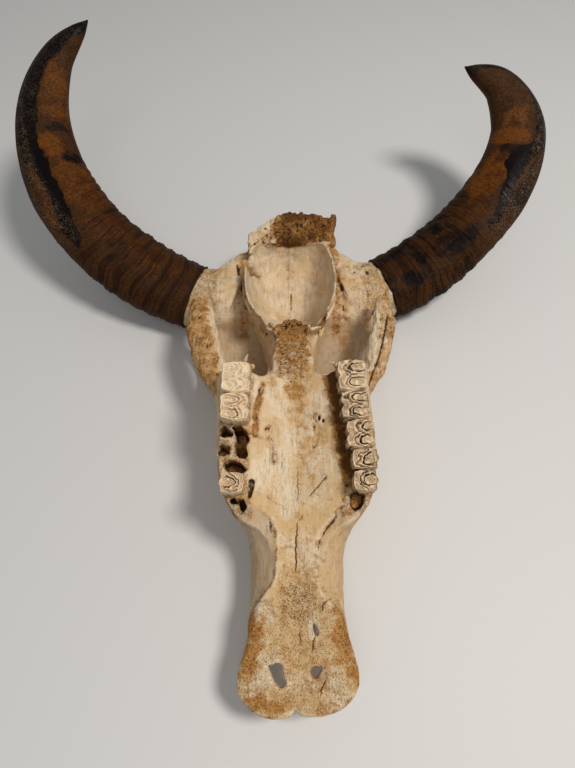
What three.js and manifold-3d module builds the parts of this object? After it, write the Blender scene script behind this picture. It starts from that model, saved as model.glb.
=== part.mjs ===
// Water buffalo skull, life size, lying on its forehead and nose with the palate up.
// The skull is drawn in its own axes, in millimetres: x across (the animal's right is +x),
// y back from the nose tip, z towards the palate side. At the end it is tilted to its rest.
import * as THREE from 'three';
import { mergeVertices } from 'three/addons/utils/BufferGeometryUtils.js';
import Module from 'manifold-3d';

const wasm = await Module();
wasm.setup();

// Driving sizes
const gap = 0.3;                 // room left between neighbouring bones
const noseToOcciput = 512;
const restStart = 92;            // the nose bones' tips touch the floor here
const restHeight = -70;          // and this far below the palate
const restFall = 0.2396;         // how much lower the forehead touches, for each mm back
const sawStart = 290;            // an old saw cut runs back and down from behind the teeth
const sawHeight = -6;
const sawFall = 0.41;
const alveolarHeight = 5;        // rim of the tooth sockets
const crownHeight = 25;          // chewing surface of the teeth
const rootDepth = 14;            // how far a tooth is sunk in the jaw
const far = 400;

const boneMaterial = () => new THREE.MeshStandardMaterial({ color: 0xd9cba6, roughness: 0.8, metalness: 0 });
const hornMaterial = () => new THREE.MeshStandardMaterial({ color: 0x3a241a, roughness: 0.45, metalness: 0 });

// A smooth curve through [place, value] knots that never overshoots them
function profile(...knots) {
  const last = knots.length - 1;
  const rise = (i) => (knots[i + 1][1] - knots[i][1]) / (knots[i + 1][0] - knots[i][0]);
  const slope = (i) => {
    if (i === 0) return rise(0);
    if (i === last) return rise(last - 1);
    const before = rise(i - 1);
    const after = rise(i);
    return before * after <= 0 ? 0 : (2 * before * after) / (before + after);
  };
  return (place) => {
    if (place <= knots[0][0]) return knots[0][1];
    if (place >= knots[last][0]) return knots[last][1];
    let i = 0;
    while (knots[i + 1][0] < place) i += 1;
    const run = knots[i + 1][0] - knots[i][0];
    const k = (place - knots[i][0]) / run;
    const start = (1 + 2 * k) * (1 - k) ** 2 * knots[i][1] + k * (1 - k) ** 2 * run * slope(i);
    const end = k * k * (3 - 2 * k) * knots[i + 1][1] + k * k * (k - 1) * run * slope(i + 1);
    return start + end;
  };
}

// A closed solid from any closed geometry, its faces turned outwards
function solidOf(geometry, matrix = new THREE.Matrix4()) {
  geometry.applyMatrix4(matrix);
  geometry.deleteAttribute('normal');
  geometry.deleteAttribute('uv');
  const merged = mergeVertices(geometry, 1e-4);
  const vertProperties = new Float32Array(merged.attributes.position.array);
  const triVerts = new Uint32Array(merged.index.array);
  const solid = new wasm.Manifold(new wasm.Mesh({ numProp: 3, vertProperties, triVerts }));
  if (solid.volume() > 0) return solid;
  for (let i = 0; i < triVerts.length; i += 3) {
    [triVerts[i + 1], triVerts[i + 2]] = [triVerts[i + 2], triVerts[i + 1]];
  }
  return new wasm.Manifold(new wasm.Mesh({ numProp: 3, vertProperties, triVerts }));
}

// A solid through a row of rings with the same number of points
function loft(rings) {
  const sides = rings[0].length;
  const steps = rings.length - 1;
  const tube = new THREE.CylinderGeometry(1, 1, 1, sides, steps);
  const spots = tube.attributes.position;
  for (let i = 0; i < spots.count; i += 1) {
    const ring = rings[Math.round((spots.getY(i) + 0.5) * steps)];
    const onRim = Math.hypot(spots.getX(i), spots.getZ(i)) > 0.5;
    const turn = Math.round((Math.atan2(spots.getX(i), spots.getZ(i)) / (2 * Math.PI)) * sides);
    const spot = onRim ? ring[(turn + sides) % sides] : middleOf(ring);
    spots.setXYZ(i, spot.x, spot.y, spot.z);
  }
  return solidOf(tube);
}

function middleOf(ring) {
  const middle = new THREE.Vector3();
  ring.forEach((spot) => middle.add(spot));
  return middle.divideScalar(ring.length);
}

// A ring across the skull at one place, smooth through the corners of one side and its mirror image
function mirroredRing(place, corners, perCorner) {
  const right = corners.slice(1, -1);
  const left = right.map(([x, z]) => [-x, z]).reverse();
  const around = [corners[0], ...right, corners[corners.length - 1], ...left];
  const spots = around.map(([x, z]) => new THREE.Vector3(bend(place) + x, place, z));
  const curve = new THREE.CatmullRomCurve3(spots, true, 'centripetal');
  const sides = spots.length * perCorner;
  return Array.from({ length: sides }, (_, k) => curve.getPoint(k / sides));
}

function ellipsoid(centre, radii, across = 20, down = 12, turn = new THREE.Euler()) {
  const matrix = new THREE.Matrix4().compose(
    new THREE.Vector3(...centre), new THREE.Quaternion().setFromEuler(turn), new THREE.Vector3(...radii));
  return solidOf(new THREE.SphereGeometry(1, across, down), matrix);
}

// A round or oval post along z
function post(x, y, z, radiusX, radiusY, height, sides = 8, narrowing = 1) {
  const matrix = new THREE.Matrix4().compose(
    new THREE.Vector3(x, y, z),
    new THREE.Quaternion().setFromEuler(new THREE.Euler(Math.PI / 2, 0, 0)),
    new THREE.Vector3(radiusX, height, radiusY));
  return solidOf(new THREE.CylinderGeometry(1, narrowing, 1, sides), matrix);
}

// The same outline, each edge moved outwards by the room given
function grown(outline, room) {
  const count = outline.length;
  const area = outline.reduce((sum, [a, b], i) => {
    const [c, d] = outline[(i + 1) % count];
    return sum + a * d - c * b;
  }, 0);
  const outward = Math.sign(area);
  const edge = (i) => {
    const [a, b] = outline[(i + count) % count];
    const [c, d] = outline[(i + 1) % count];
    const length = Math.hypot(c - a, d - b);
    return [(outward * (d - b)) / length, (-outward * (c - a)) / length];
  };
  return outline.map(([a, b], i) => {
    const [m, n] = edge(i - 1);
    const [p, q] = edge(i);
    const scale = room / (1 + m * p + n * q);
    return [a + (m + p) * scale, b + (n + q) * scale];
  });
}

const sideways = new THREE.Matrix4().makeBasis(
  new THREE.Vector3(0, 1, 0), new THREE.Vector3(0, 0, 1), new THREE.Vector3(1, 0, 0));

// A region drawn in the side view as [y, z] points, reaching across from one x to another
function sideRegion(outline, from, to, room = 0) {
  const shape = new THREE.Shape(grown(outline, room).map(([y, z]) => new THREE.Vector2(y, z)));
  const depth = to - from + 2 * room;
  const geometry = new THREE.ExtrudeGeometry(shape, { depth, bevelEnabled: false });
  geometry.applyMatrix4(sideways);
  return solidOf(geometry, new THREE.Matrix4().makeTranslation(from - room, 0, 0));
}

// A region drawn in the palate view as [x, y] points, reaching from one height to another
function palateRegion(outline, from, to, room = 0) {
  const shape = new THREE.Shape(grown(outline, room).map(([x, y]) => new THREE.Vector2(x, y)));
  const depth = to - from + 2 * room;
  const geometry = new THREE.ExtrudeGeometry(shape, { depth, bevelEnabled: false });
  return solidOf(geometry, new THREE.Matrix4().makeTranslation(0, 0, from - room));
}

const union = (solids) => solids.reduce((sum, one) => sum.add(one));
const largest = (solid) => solid.decompose().reduce((best, one) => (one.volume() > best.volume() ? one : best));
const sides = [{ name: 'left', hand: -1 }, { name: 'right', hand: 1 }];

// How the midline wanders, as in any real skull
const bend = profile([0, -3.4], [30, -1], [60, 0], [120, 1.8], [190, 2.2], [260, 0.4], [300, 0], [520, 0]);

// The roof of the skull along the midline; it touches the floor at the nose tips and the forehead
const roof = profile(
  [88, -69.4], [93, -70.7], [104, -72.6], [120, -75.6], [160, -84], [220, -97], [280, -112], [340, -127],
  [400, -142.6], [428, -151.2], [441, -154.2], [452, -154.6], [466, -151.5], [490, -139], [noseToOcciput, -124]);

// Face: premaxillae, upper jaws, palate and the front wall of the orbits
const faceTop = profile(
  [0, -9], [20, -12], [45, -20], [75, -42], [100, -60], [140, -76.5], [200, -91], [260, -107], [312, -120]);
const shoulder = profile(
  [0, 18], [8, 34], [20, 43], [45, 40], [75, 33], [100, 30], [140, 31], [200, 40], [260, 57], [312, 74]);
const cheekWidth = profile(
  [0, 22], [3, 33], [8, 41], [14, 46], [22, 49.8], [34, 49], [46, 45.5], [60, 41.5], [78, 39.5], [120, 40],
  [150, 50], [180, 63], [215, 71], [250, 71.5], [276, 73], [290, 81], [312, 90]);
const cheekHeight = profile(
  [0, -5], [20, -6], [45, -10], [75, -20], [100, -30], [150, -34], [215, -36], [250, -44], [280, -55], [312, -70]);
const outerRidge = profile(
  [0, 20], [3, 31], [8, 39], [14, 44.5], [22, 48], [34, 47], [46, 43], [60, 38], [75, 34], [100, 24], [120, 20],
  [136, 26], [144, 34], [152, 50], [162, 58.5], [176, 66], [200, 69], [262, 67], [284, 64.5], [294, 62], [312, 60]);
const outerRidgeHeight = profile(
  [0, -1], [45, -0.5], [100, 0.5], [140, 1], [155, 3], [170, alveolarHeight], [288, alveolarHeight], [296, -12],
  [304, -38], [312, -62]);
const innerRidge = profile(
  [0, 10], [45, 15], [75, 17], [100, 14], [120, 11], [140, 17], [155, 37], [180, 43], [220, 42], [260, 40],
  [290, 38.5], [312, 37]);
const innerRidgeHeight = profile(
  [0, -1], [100, 0], [140, -2], [155, 0], [180, 3], [286, 3], [294, -14], [304, -42], [312, -62]);
const palateHeight = profile(
  [0, -1.5], [45, -2.5], [75, -2.5], [120, -3], [155, -6], [190, -10], [230, -12], [280, -10.5], [292, -14],
  [312, -30]);
const shoulderDrop = 5.5;

function faceRing(place) {
  const corners = [
    [0, faceTop(place)],
    [shoulder(place), faceTop(place) + shoulderDrop],
    [cheekWidth(place), cheekHeight(place)],
    [outerRidge(place), outerRidgeHeight(place)],
    [innerRidge(place), innerRidgeHeight(place)],
    [0, palateHeight(place)],
  ];
  return mirroredRing(place, corners, 2);
}

const facePlaces = [0, 3, 8, 14, 22, 34, 46, 60, 76, 90, 104, 120, 134, 143, 150, 158, 168, 182, 200, 220, 240,
  260, 276, 286, 292, 298, 305, 312];

// The open nose: an oval passage from the premaxillae back, roofed by the nasal bones
const noseHeight = profile([24, -41], [46, -37], [92, -35], [150, -44], [232, -54]);
const noseTall = profile([24, 27], [46, 31], [92, 28], [150, 32], [210, 28], [232, 10]);
const noseWide = profile([24, 20], [40, 29], [92, 30], [150, 33], [210, 24], [232, 8]);

function noseRing(place, count = 14) {
  return Array.from({ length: count }, (_, k) => {
    const angle = (2 * Math.PI * k) / count;
    const x = bend(place) + noseWide(place) * Math.sin(angle);
    return new THREE.Vector3(x, place, noseHeight(place) + noseTall(place) * Math.cos(angle));
  });
}

// Holes through the premaxillae: two fissures, a slit behind one and the notch between the front lobes
function premaxillaHoles() {
  const reach = 60;
  const notch = palateRegion([[-9.5, -6], [2.5, -6], [-2.7, 6.5], [-4.1, 6.5]], -reach, reach);
  return union([
    post(-17.5, 32, -6, 4.6, 8.6, 30, 10),
    post(12.5, 32, -6, 4.2, 5, 30, 10),
    post(13, 64, -6, 2, 7.5, 30, 8),
    notch,
  ]);
}

// Teeth from the back of the row to the front, and those that have dropped out of their sockets
const toothRow = [
  { tooth: 'third molar', place: 276, across: 51.8, length: 29, width: 26.5, lobes: 2 },
  { tooth: 'second molar', place: 248.5, across: 53.2, length: 25.5, width: 26, lobes: 2 },
  { tooth: 'first molar', place: 222.5, across: 55.5, length: 24.5, width: 25.5, lobes: 2 },
  { tooth: 'fourth premolar', place: 200.5, across: 57.6, length: 17.5, width: 22.5, lobes: 1 },
  { tooth: 'third premolar', place: 182, across: 56.6, length: 17.5, width: 20.5, lobes: 1 },
];
const droppedTeeth = { left: ['first molar', 'fourth premolar'], right: [] };
const sockets = {
  left: [[49, 221, 6.5, 11.5], [59.5, 229, 5.8, 4.6], [62.5, 214.5, 4.6, 5], [55, 198, 9.5, 6], [52, 168, 4, 5],
    [50.5, 159, 3.6, 3.6]],
  right: [[54, 170, 4.6, 4.2], [50, 161, 4.2, 4]],
};

function toothSolid({ place, across, length, width, lobes }, hand) {
  const count = 12;
  const waist = lobes === 2 ? 0.16 : 0;
  const ring = (height, size) => Array.from({ length: count }, (_, k) => {
    const angle = (2 * Math.PI * k) / count;
    const square = 1 / Math.max(Math.abs(Math.sin(angle)), Math.abs(Math.cos(angle))) ** 0.55;
    const pinch = 1 - waist * Math.abs(Math.sin(angle)) ** 3;
    const x = bend(place) + hand * across + (width / 2) * size * square * pinch * Math.sin(angle);
    return new THREE.Vector3(x, place + (length / 2) * size * square * Math.cos(angle), height);
  });
  const rings = [
    ring(alveolarHeight - rootDepth, 0.72),
    ring(alveolarHeight - 2, 0.93),
    ring(crownHeight - 3, 0.985),
    ring(crownHeight, 0.93),
    ring(crownHeight - 2, 0.5),
  ];
  return loft(rings);
}

function sideTeeth({ name, hand }) {
  const standing = toothRow.filter(({ tooth }) => !droppedTeeth[name].includes(tooth));
  return union(standing.map((tooth) => toothSolid(tooth, hand)));
}

function sideSockets({ name, hand }) {
  const middle = alveolarHeight - 3;
  return union(sockets[name].map(([across, place, radiusX, radiusY]) => (
    post(bend(place) + hand * across, place, middle, radiusX, radiusY, 26, 8, 0.55))));
}

// Nasal bones: two long arched plates that overhang the open nose
const nasalWidth = profile([88, 11], [96, 20], [120, 23], [180, 27], [250, 38], [285, 40], [302, 12]);
const nasalPlaces = [88, 92, 97, 106, 120, 150, 190, 230, 265, 285, 296, 302];

function nasalRing(place, room) {
  const wide = nasalWidth(place) + room;
  const thick = 8;
  const sag = 7;
  const top = roof(place) - room;
  const corners = [
    [0, top],
    [wide * 0.6, top + sag * 0.25],
    [wide, top + sag],
    [wide * 0.97, top + sag + thick * 0.6 + 2 * room],
    [wide * 0.5, top + thick + 2 * room + sag * 0.3],
    [0, top + thick + 2 * room],
  ];
  return mirroredRing(place, corners, 1);
}

function nasalForm(room = 0) {
  const first = nasalPlaces[0] - room;
  const last = nasalPlaces[nasalPlaces.length - 1] + room;
  return loft([first, ...nasalPlaces.slice(1, -1), last].map((place) => nasalRing(place, room)));
}

// Forehead: orbit roofs, temporal floors and the bony stumps that carry the horns
const browWidth = profile(
  [262, 54], [290, 70], [302, 82], [314, 93], [330, 101], [348, 105], [362, 104], [378, 98], [400, 97], [425, 99],
  [446, 93], [466, 74], [484, 52]);
const browDrop = profile([262, 8], [300, 8], [340, 9], [400, 5], [428, 0.5], [448, 0.5], [466, 6], [484, 12]);
const browEdge = profile([262, 20], [340, 22], [400, 20], [440, 18], [466, 22], [484, 30]);
const browUnder = profile(
  [262, -82], [300, -90], [322, -106], [345, -111], [366, -111], [376, -107], [386, -94], [440, -92], [466, -98],
  [484, -108]);
const browPlaces = [262, 276, 290, 302, 314, 326, 338, 350, 364, 376, 386, 396, 410, 424, 434, 444, 454, 464, 474,
  484];

function browRing(place) {
  const wide = browWidth(place);
  const corners = [
    [0, roof(place)],
    [wide * 0.62, roof(place) + browDrop(place)],
    [wide, roof(place) + browEdge(place)],
    [wide * 0.93, Math.max(browUnder(place), roof(place) + browEdge(place) + 8)],
    [wide * 0.55, browUnder(place)],
    [0, browUnder(place)],
  ];
  return mirroredRing(place, corners, 2);
}

// Horns: centre line, half width in the plane of the curve, and growth rings that fade to a smooth tip
const hornLines = {
  left: [[-104, 421, -115], [-114, 424.5, -114.5], [-140, 434.5, -109.5], [-167.6, 447.6, -103.2],
    [-214.8, 480.3, -88.4], [-253, 522.2, -71.6], [-278.3, 572.5, -53.4], [-285.4, 627.7, -33.9],
    [-268.6, 680.3, -13.4], [-227.6, 717.4, 8]],
  right: [[104, 428.5, -115], [112.4, 431.7, -114.5], [137, 442, -111], [159.9, 454.6, -106.4],
    [201.5, 486.1, -95.9], [238.1, 523.1, -84.2], [266.4, 566.3, -71.3], [278.7, 615.9, -57.5],
    [259.4, 661.8, -43.1], [213, 679.1, -28]],
};
const hornHalfWidth = {
  left: profile([0, 41.5], [0.1, 42], [0.2, 43], [0.32, 41], [0.45, 39.3], [0.6, 34.6], [0.75, 28.7], [0.88, 19.5],
    [0.96, 9], [1, 1]),
  right: profile([0, 40.5], [0.1, 41], [0.2, 40.8], [0.34, 38.6], [0.48, 37.6], [0.62, 34.4], [0.76, 30.4],
    [0.88, 21.5], [0.96, 9.5], [1, 1]),
};
const hornFlatness = profile([0, 0.74], [0.5, 0.7], [0.85, 0.78], [1, 1]);
const hornSides = 16;
const hornStart = 0.025;         // share of the line that lies inside the bony stump
const ringSpacing = 20;
const ringHeight = profile([0, 1.7], [0.4, 1.5], [0.62, 0.5], [0.75, 0], [1, 0]);

function hornRing(name, share, along, count, room = 0) {
  const curve = hornCurves[name];
  const centre = curve.getPointAt(share);
  const tangent = curve.getTangentAt(share);
  const across = new THREE.Vector3().crossVectors(tangent, new THREE.Vector3(0, 0.2, 1)).normalize();
  const over = new THREE.Vector3().crossVectors(across, tangent).normalize();
  const ripple = ringHeight(share) * Math.cos((2 * Math.PI * along) / ringSpacing);
  const wide = hornHalfWidth[name](share) + ripple + room;
  const tall = (hornHalfWidth[name](share) * hornFlatness(share)) + ripple + room;
  return Array.from({ length: count }, (_, k) => {
    const angle = (2 * Math.PI * k) / count;
    return centre.clone()
      .addScaledVector(across, wide * Math.cos(angle))
      .addScaledVector(over, tall * Math.sin(angle));
  });
}

const hornCurves = Object.fromEntries(sides.map(({ name }) => [name,
  new THREE.CatmullRomCurve3(hornLines[name].map((spot) => new THREE.Vector3(...spot)), false, 'centripetal')]));

function hornSolid(name) {
  const length = hornCurves[name].getLength();
  const rings = [];
  let along = hornStart * length;
  while (along < length - 3) {
    rings.push(hornRing(name, along / length, along, hornSides));
    along += along < 0.66 * length ? ringSpacing / 4 : ringSpacing * 0.65;
  }
  rings.push(hornRing(name, 1, length, hornSides));
  return loft(rings);
}

// The stump of bone inside the forehead that reaches up to the horn
function hornStump({ name, hand }) {
  const length = hornCurves[name].getLength();
  const end = hornStart * length - gap;
  const outer = hornRing(name, end / length, ringSpacing / 2, hornSides, -0.5);
  const middle = middleOf(outer);
  const inward = new THREE.Vector3(-hand * 50, -8, 0);
  const rings = [0, 0.3, 1].map((share) => outer.map((spot) => spot.clone()
    .sub(middle).multiplyScalar(1 + 0.08 * share).add(middle).addScaledVector(inward, share)));
  return loft(rings);
}

// Cheek bars: a broad shelf from the upper jaw back under each orbit, ending in a broken stub beside the horn
const barAcross = profile([246, 60], [276, 67], [304, 83], [334, 91.5], [360, 97], [380, 99], [394, 100.5]);
const barHeight = profile([246, -24], [276, -34], [304, -41], [334, -46], [360, -54], [394, -64]);
const barThick = profile([246, 8], [276, 10], [304, 12.5], [334, 12.5], [360, 11], [380, 9], [394, 6]);
const barTall = profile([246, 10], [276, 15], [304, 14], [334, 11], [394, 9.5]);
const barExtra = { left: 1.8, right: 0 };
const barPlaces = [246, 260, 276, 290, 304, 318, 334, 348, 362, 378, 388, 394];

function cheekBar({ name, hand }) {
  return loft(barPlaces.map((place) => Array.from({ length: 12 }, (_, k) => {
    const angle = (2 * Math.PI * k) / 12;
    const x = hand * (barAcross(place) + (barThick(place) + barExtra[name]) * Math.cos(angle));
    return new THREE.Vector3(x, place, barHeight(place) + barTall(place) * Math.sin(angle));
  })));
}

// Orbits: a deep oval socket, with a thick rim round its mouth
const orbitAcross = 98;
const orbitPlace = 337;
const orbitHeight = -77;
const orbitRadius = 34;
const orbitTurn = 0.3;
const rimThick = 6;

function orbitHollow(hand) {
  const turn = new THREE.Euler(0, 0, -hand * orbitTurn);
  return ellipsoid([hand * orbitAcross, orbitPlace, orbitHeight], [64, 29, 29], 16, 10, turn);
}

function orbitRim(hand) {
  const matrix = new THREE.Matrix4().makeRotationZ(-hand * orbitTurn).multiply(sideways);
  matrix.premultiply(new THREE.Matrix4().makeTranslation(hand * orbitAcross, orbitPlace, orbitHeight));
  return solidOf(new THREE.TorusGeometry(orbitRadius, rimThick, 7, 20), matrix);
}

// Braincase: a deep bowl with an even wall, opened by the saw cut
const brainStart = 351;
const brainEnd = 479;
const brainWall = 4.8;
const brainWidth = profile([0, 17], [0.05, 26], [0.14, 36], [0.26, 43], [0.4, 47.5], [0.6, 49.5], [0.85, 45.5],
  [0.95, 41], [1, 34]);
const brainFloor = profile([0, -66], [0.05, -82], [0.15, -104], [0.3, -121], [0.5, -130], [0.7, -131],
  [0.86, -124], [0.95, -112], [1, -98]);
const brainShares = [0, 0.05, 0.12, 0.2, 0.3, 0.42, 0.55, 0.68, 0.8, 0.9, 0.96, 1];

function brainForm(wall) {
  return loft(brainShares.map((share) => {
    const place = brainStart - wall + share * (brainEnd - brainStart + 2 * wall);
    const level = sawHeight - sawFall * (place - sawStart) - 3;
    const wide = brainWidth(share) + wall;
    const deep = level - brainFloor(share) + wall;
    return Array.from({ length: 20 }, (_, k) => {
      const angle = (2 * Math.PI * k) / 20;
      const x = wide * Math.sign(Math.sin(angle)) * Math.abs(Math.sin(angle)) ** 0.85;
      const z = Math.cos(angle) > 0 ? 30 : deep;
      return new THREE.Vector3(x, place, level + z * Math.cos(angle));
    });
  }));
}

// Sphenoid: the column between palate and braincase, with the inner walls of the orbits
const columnWidth = profile([268, 15], [288, 20], [302, 21], [322, 18], [340, 14.5], [352, 14], [376, 20]);
const columnFoot = profile([268, 20], [290, 24], [325, 27], [350, 33], [376, 44]);
const columnTop = profile([268, -13], [280, -12], [292, -7], [300, 2]);
const columnBottom = profile([268, -74], [292, -84], [325, -103], [376, -106]);
const columnPlaces = [268, 280, 292, 306, 325, 340, 355, 376];

function columnForm(room = 0) {
  return loft(columnPlaces.map((place, i) => {
    const last = columnPlaces.length - 1;
    const shift = { 0: -room, [last]: room }[i] ?? 0;
    const bottom = columnBottom(place);
    const top = columnTop(place);
    const corners = [
      [0, bottom - room],
      [columnFoot(place) + room, bottom - room + 4],
      [columnFoot(place) * 0.86 + room, bottom * 0.4 - 26],
      [columnWidth(place) + room, -46],
      [columnWidth(place) * 0.94 + room, top + room],
      [0, top + room],
    ];
    return mirroredRing(place + shift, corners, 1);
  }));
}

// Occipital: the back of the skull, whose upper edge is broken rather than sawn and rises to a crest
const napeWidth = profile([455, 66], [476, 58], [495, 55], [noseToOcciput, 52]);
const napePlaces = [455, 466, 476, 486, 495, 504, noseToOcciput];
const napeOutline = [[-70, 450], [70, 450], [60, 470], [52, 486], [57, 510], [46, 505], [34, 508], [18, 510],
  [3, 511], [-12, 508], [-27, 500], [-40, 492], [-48, 488], [-50, 474], [-60, 466]];
const crestHeight = -71;
const crestPlace = 508;
const crestFall = -0.4;

function napeForm() {
  const block = loft(napePlaces.map((place) => mirroredRing(place, [
    [0, roof(place)],
    [napeWidth(place) * 0.6, roof(place) + 4],
    [napeWidth(place), roof(place) + 16],
    [napeWidth(place), -60],
    [napeWidth(place) * 0.5, -50],
    [0, -50],
  ], 2)));
  const broken = slopedBlock(crestPlace, crestHeight, crestFall, false);
  const dip = ellipsoid([2, 480, -74], [9, 14, 9], 12, 8);
  return block.intersect(palateRegion(napeOutline, -far, far)).subtract(broken).subtract(dip);
}

// Half spaces: what the saw took away, and what lies under the floor
function slopedBlock(start, height, fall, below) {
  const angle = -Math.atan(fall);
  const matrix = new THREE.Matrix4().makeTranslation(0, start, height)
    .multiply(new THREE.Matrix4().makeRotationX(angle))
    .multiply(new THREE.Matrix4().makeTranslation(0, 0, below ? -far : far));
  return solidOf(new THREE.BoxGeometry(4 * far, 6 * far, 2 * far), matrix);
}

function sawnOff() {
  const cut = slopedBlock(sawStart, sawHeight, sawFall, false);
  const from = sawStart + 2;
  return cut.intersect(palateRegion([[-far, from], [far, from], [far, far * 2], [-far, far * 2]], -far, far));
}

// The openings behind the palate, one on each side of the column
function behindPalate(hand) {
  const outline = [[25, 288], [28, 284.5], [34, 285], [39, 289], [43, 297], [46, 330], [25, 330]];
  return palateRegion(outline.map(([x, y]) => [hand * x, y]), -78, far);
}

const underFloor = () => slopedBlock(restStart, restHeight, restFall, true);

// One half of the skull, up to its wandering midline
function half(hand, room) {
  const places = Array.from({ length: 28 }, (_, k) => -20 + 20 * k);
  const middle = places.map((place) => [bend(place) + hand * room, place]);
  return palateRegion([...middle, [hand * far, places[places.length - 1]], [hand * far, places[0]]], -far, far);
}

// Bones drawn in the side view as [y, z] points, each over a stretch of x
const premaxillaOutline = [[-10, 30], [101, 30], [96, -14], [126, -44], [152, -66], [148, -90], [-10, -90]];
const lacrimalOutline = [[262, -64], [283, -60], [302, -77], [330, -77], [330, -98], [296, -98], [268, -88]];
const zygomaticOutline = [[257, 30], [257, -30], [284, -59], [303, -76], [345, -76], [362, -84], [420, -84], [420, 30]];
const palatineOutline = [[-32, 246], [-22, 236], [0, 230], [22, 236], [32, 246], [34, 320], [-34, 320]];
const foreheadOutline = [[266, -90], [296, -99], [316, -99], [316, 60], [472, 60], [478, -100], [472, -130],
  [462, -200], [258, -200], [258, -100]];
const besideTeeth = 67.5;
const besideNose = 42;

// Everything ahead of the braincase as one body
const saw = sawnOff();
const jaws = sides.map((side) => sideTeeth(side));
let bone = loft(facePlaces.map(faceRing))
  .subtract(loft([24, 30, 40, 52, 70, 92, 120, 150, 180, 210, 232].map((place) => noseRing(place))))
  .subtract(premaxillaHoles());
sides.forEach((side) => { bone = bone.subtract(sideSockets(side)); });
bone = union([bone, ...jaws, loft(browPlaces.map(browRing)), ...sides.map(hornStump),
  ...sides.map(cheekBar)]);
sides.forEach(({ hand }) => { bone = bone.subtract(orbitHollow(hand)).subtract(behindPalate(hand)); });
bone = union([bone, ...sides.map(({ hand }) => orbitRim(hand))]);
bone = bone.subtract(saw);

const skull = new THREE.Group();

function addNode(name, solid, material = boneMaterial()) {
  const mesh = largest(solid.subtract(underFloor())).getMesh();
  const geometry = new THREE.BufferGeometry();
  geometry.setAttribute('position', new THREE.BufferAttribute(new Float32Array(mesh.vertProperties), 3));
  geometry.setIndex(new THREE.BufferAttribute(new Uint32Array(mesh.triVerts), 1));
  geometry.computeVertexNormals();
  const node = new THREE.Mesh(geometry, material);
  node.name = name;
  skull.add(node);
}

// Takes a region out of the body for the nodes named, with room left round it
function takeFrom(region) {
  const taken = bone.intersect(region(0));
  bone = bone.subtract(region(gap));
  return taken;
}

addNode('braincase', brainForm(brainWall).subtract(brainForm(0)).subtract(saw));
const brainRoom = brainForm(brainWall + gap);
bone = bone.subtract(brainRoom);

addNode('sphenoid', columnForm().subtract(brainRoom).subtract(saw));
bone = bone.subtract(columnForm(gap));

addNode('occipital', napeForm().subtract(brainRoom).subtract(sideRegion(foreheadOutline, -far, far, gap)));

const nasals = nasalForm();
bone = bone.subtract(nasalForm(gap));
sides.forEach(({ name, hand }) => addNode(`nasal_${name}`, nasals.intersect(half(hand, gap / 2))));

sides.forEach(({ name, hand }) => {
  const reach = (from) => (hand > 0 ? [from, far] : [-far, -from]);
  addNode(`zygomatic_${name}`, takeFrom((room) => sideRegion(zygomaticOutline, ...reach(besideTeeth), room)));
  addNode(`lacrimal_${name}`, takeFrom((room) => sideRegion(lacrimalOutline, ...reach(besideNose), room)));
});

addNode('frontal', takeFrom((room) => sideRegion(foreheadOutline, -far, far, room)));

const palatines = takeFrom((room) => palateRegion(palatineOutline, -34, 60, room));
const premaxillae = takeFrom((room) => sideRegion(premaxillaOutline, -far, far, room));
sides.forEach(({ name, hand }) => {
  addNode(`palatine_${name}`, palatines.intersect(half(hand, gap / 2)));
  addNode(`premaxilla_${name}`, premaxillae.intersect(half(hand, gap / 2)));
  addNode(`maxilla_${name}`, bone.intersect(half(hand, gap / 2)));
  addNode(`horn_${name}`, hornSolid(name), hornMaterial());
});

// Tilt the skull to its rest, then put the origin under the middle of it, on the floor
skull.rotation.x = Math.atan(restFall);
skull.updateMatrixWorld(true);
const box = new THREE.Box3().setFromObject(skull, true);
const middle = box.getCenter(new THREE.Vector3());
skull.position.set(-middle.x, -middle.y, -box.min.z);

const rested = new THREE.Group();
rested.add(skull);
rested.updateMatrixWorld(true);

export default rested;
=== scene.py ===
"""A water buffalo skull, life size: bones, teeth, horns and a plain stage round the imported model.

Shapes are worked out in the skull's own axes in millimetres (x across, s back from the nose tip,
t towards the palate side) and are then put in the frame, in metres.
"""
import math
from types import SimpleNamespace

import bmesh
import bpy
import numpy as np
from mathutils import Matrix, Vector


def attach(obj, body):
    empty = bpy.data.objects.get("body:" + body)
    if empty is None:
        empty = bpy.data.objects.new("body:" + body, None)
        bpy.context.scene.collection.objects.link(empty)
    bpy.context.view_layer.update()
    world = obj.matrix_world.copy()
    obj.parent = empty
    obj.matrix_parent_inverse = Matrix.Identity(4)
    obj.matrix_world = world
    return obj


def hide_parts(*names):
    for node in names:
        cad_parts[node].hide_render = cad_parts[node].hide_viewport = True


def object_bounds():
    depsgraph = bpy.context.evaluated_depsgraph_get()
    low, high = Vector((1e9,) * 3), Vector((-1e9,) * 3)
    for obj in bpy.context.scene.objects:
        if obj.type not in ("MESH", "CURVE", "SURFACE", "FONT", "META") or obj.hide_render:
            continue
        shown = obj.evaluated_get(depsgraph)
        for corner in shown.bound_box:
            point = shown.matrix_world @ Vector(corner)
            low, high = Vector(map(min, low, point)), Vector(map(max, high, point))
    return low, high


bl_info = {
    "name": "Water Buffalo Skull",
    "version": (1, 0, 0),
    "blender": (4, 5, 0),
    "location": "View3D > Sidebar > Skull",
    "description": "Builds a life-size water buffalo skull with its teeth and horns",
    "category": "Add Mesh",
}

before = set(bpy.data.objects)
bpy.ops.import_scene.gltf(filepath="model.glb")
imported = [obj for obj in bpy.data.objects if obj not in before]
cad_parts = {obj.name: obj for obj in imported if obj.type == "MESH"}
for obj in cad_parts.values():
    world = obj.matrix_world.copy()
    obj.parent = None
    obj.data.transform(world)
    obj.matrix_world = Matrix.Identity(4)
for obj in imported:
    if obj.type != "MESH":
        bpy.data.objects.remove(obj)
CAD_BOX = [list(corner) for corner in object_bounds()]

MM = 0.001
FAR = 400
WELD = 0.01 * MM
SIDES = {"left": -1, "right": 1}

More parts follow.
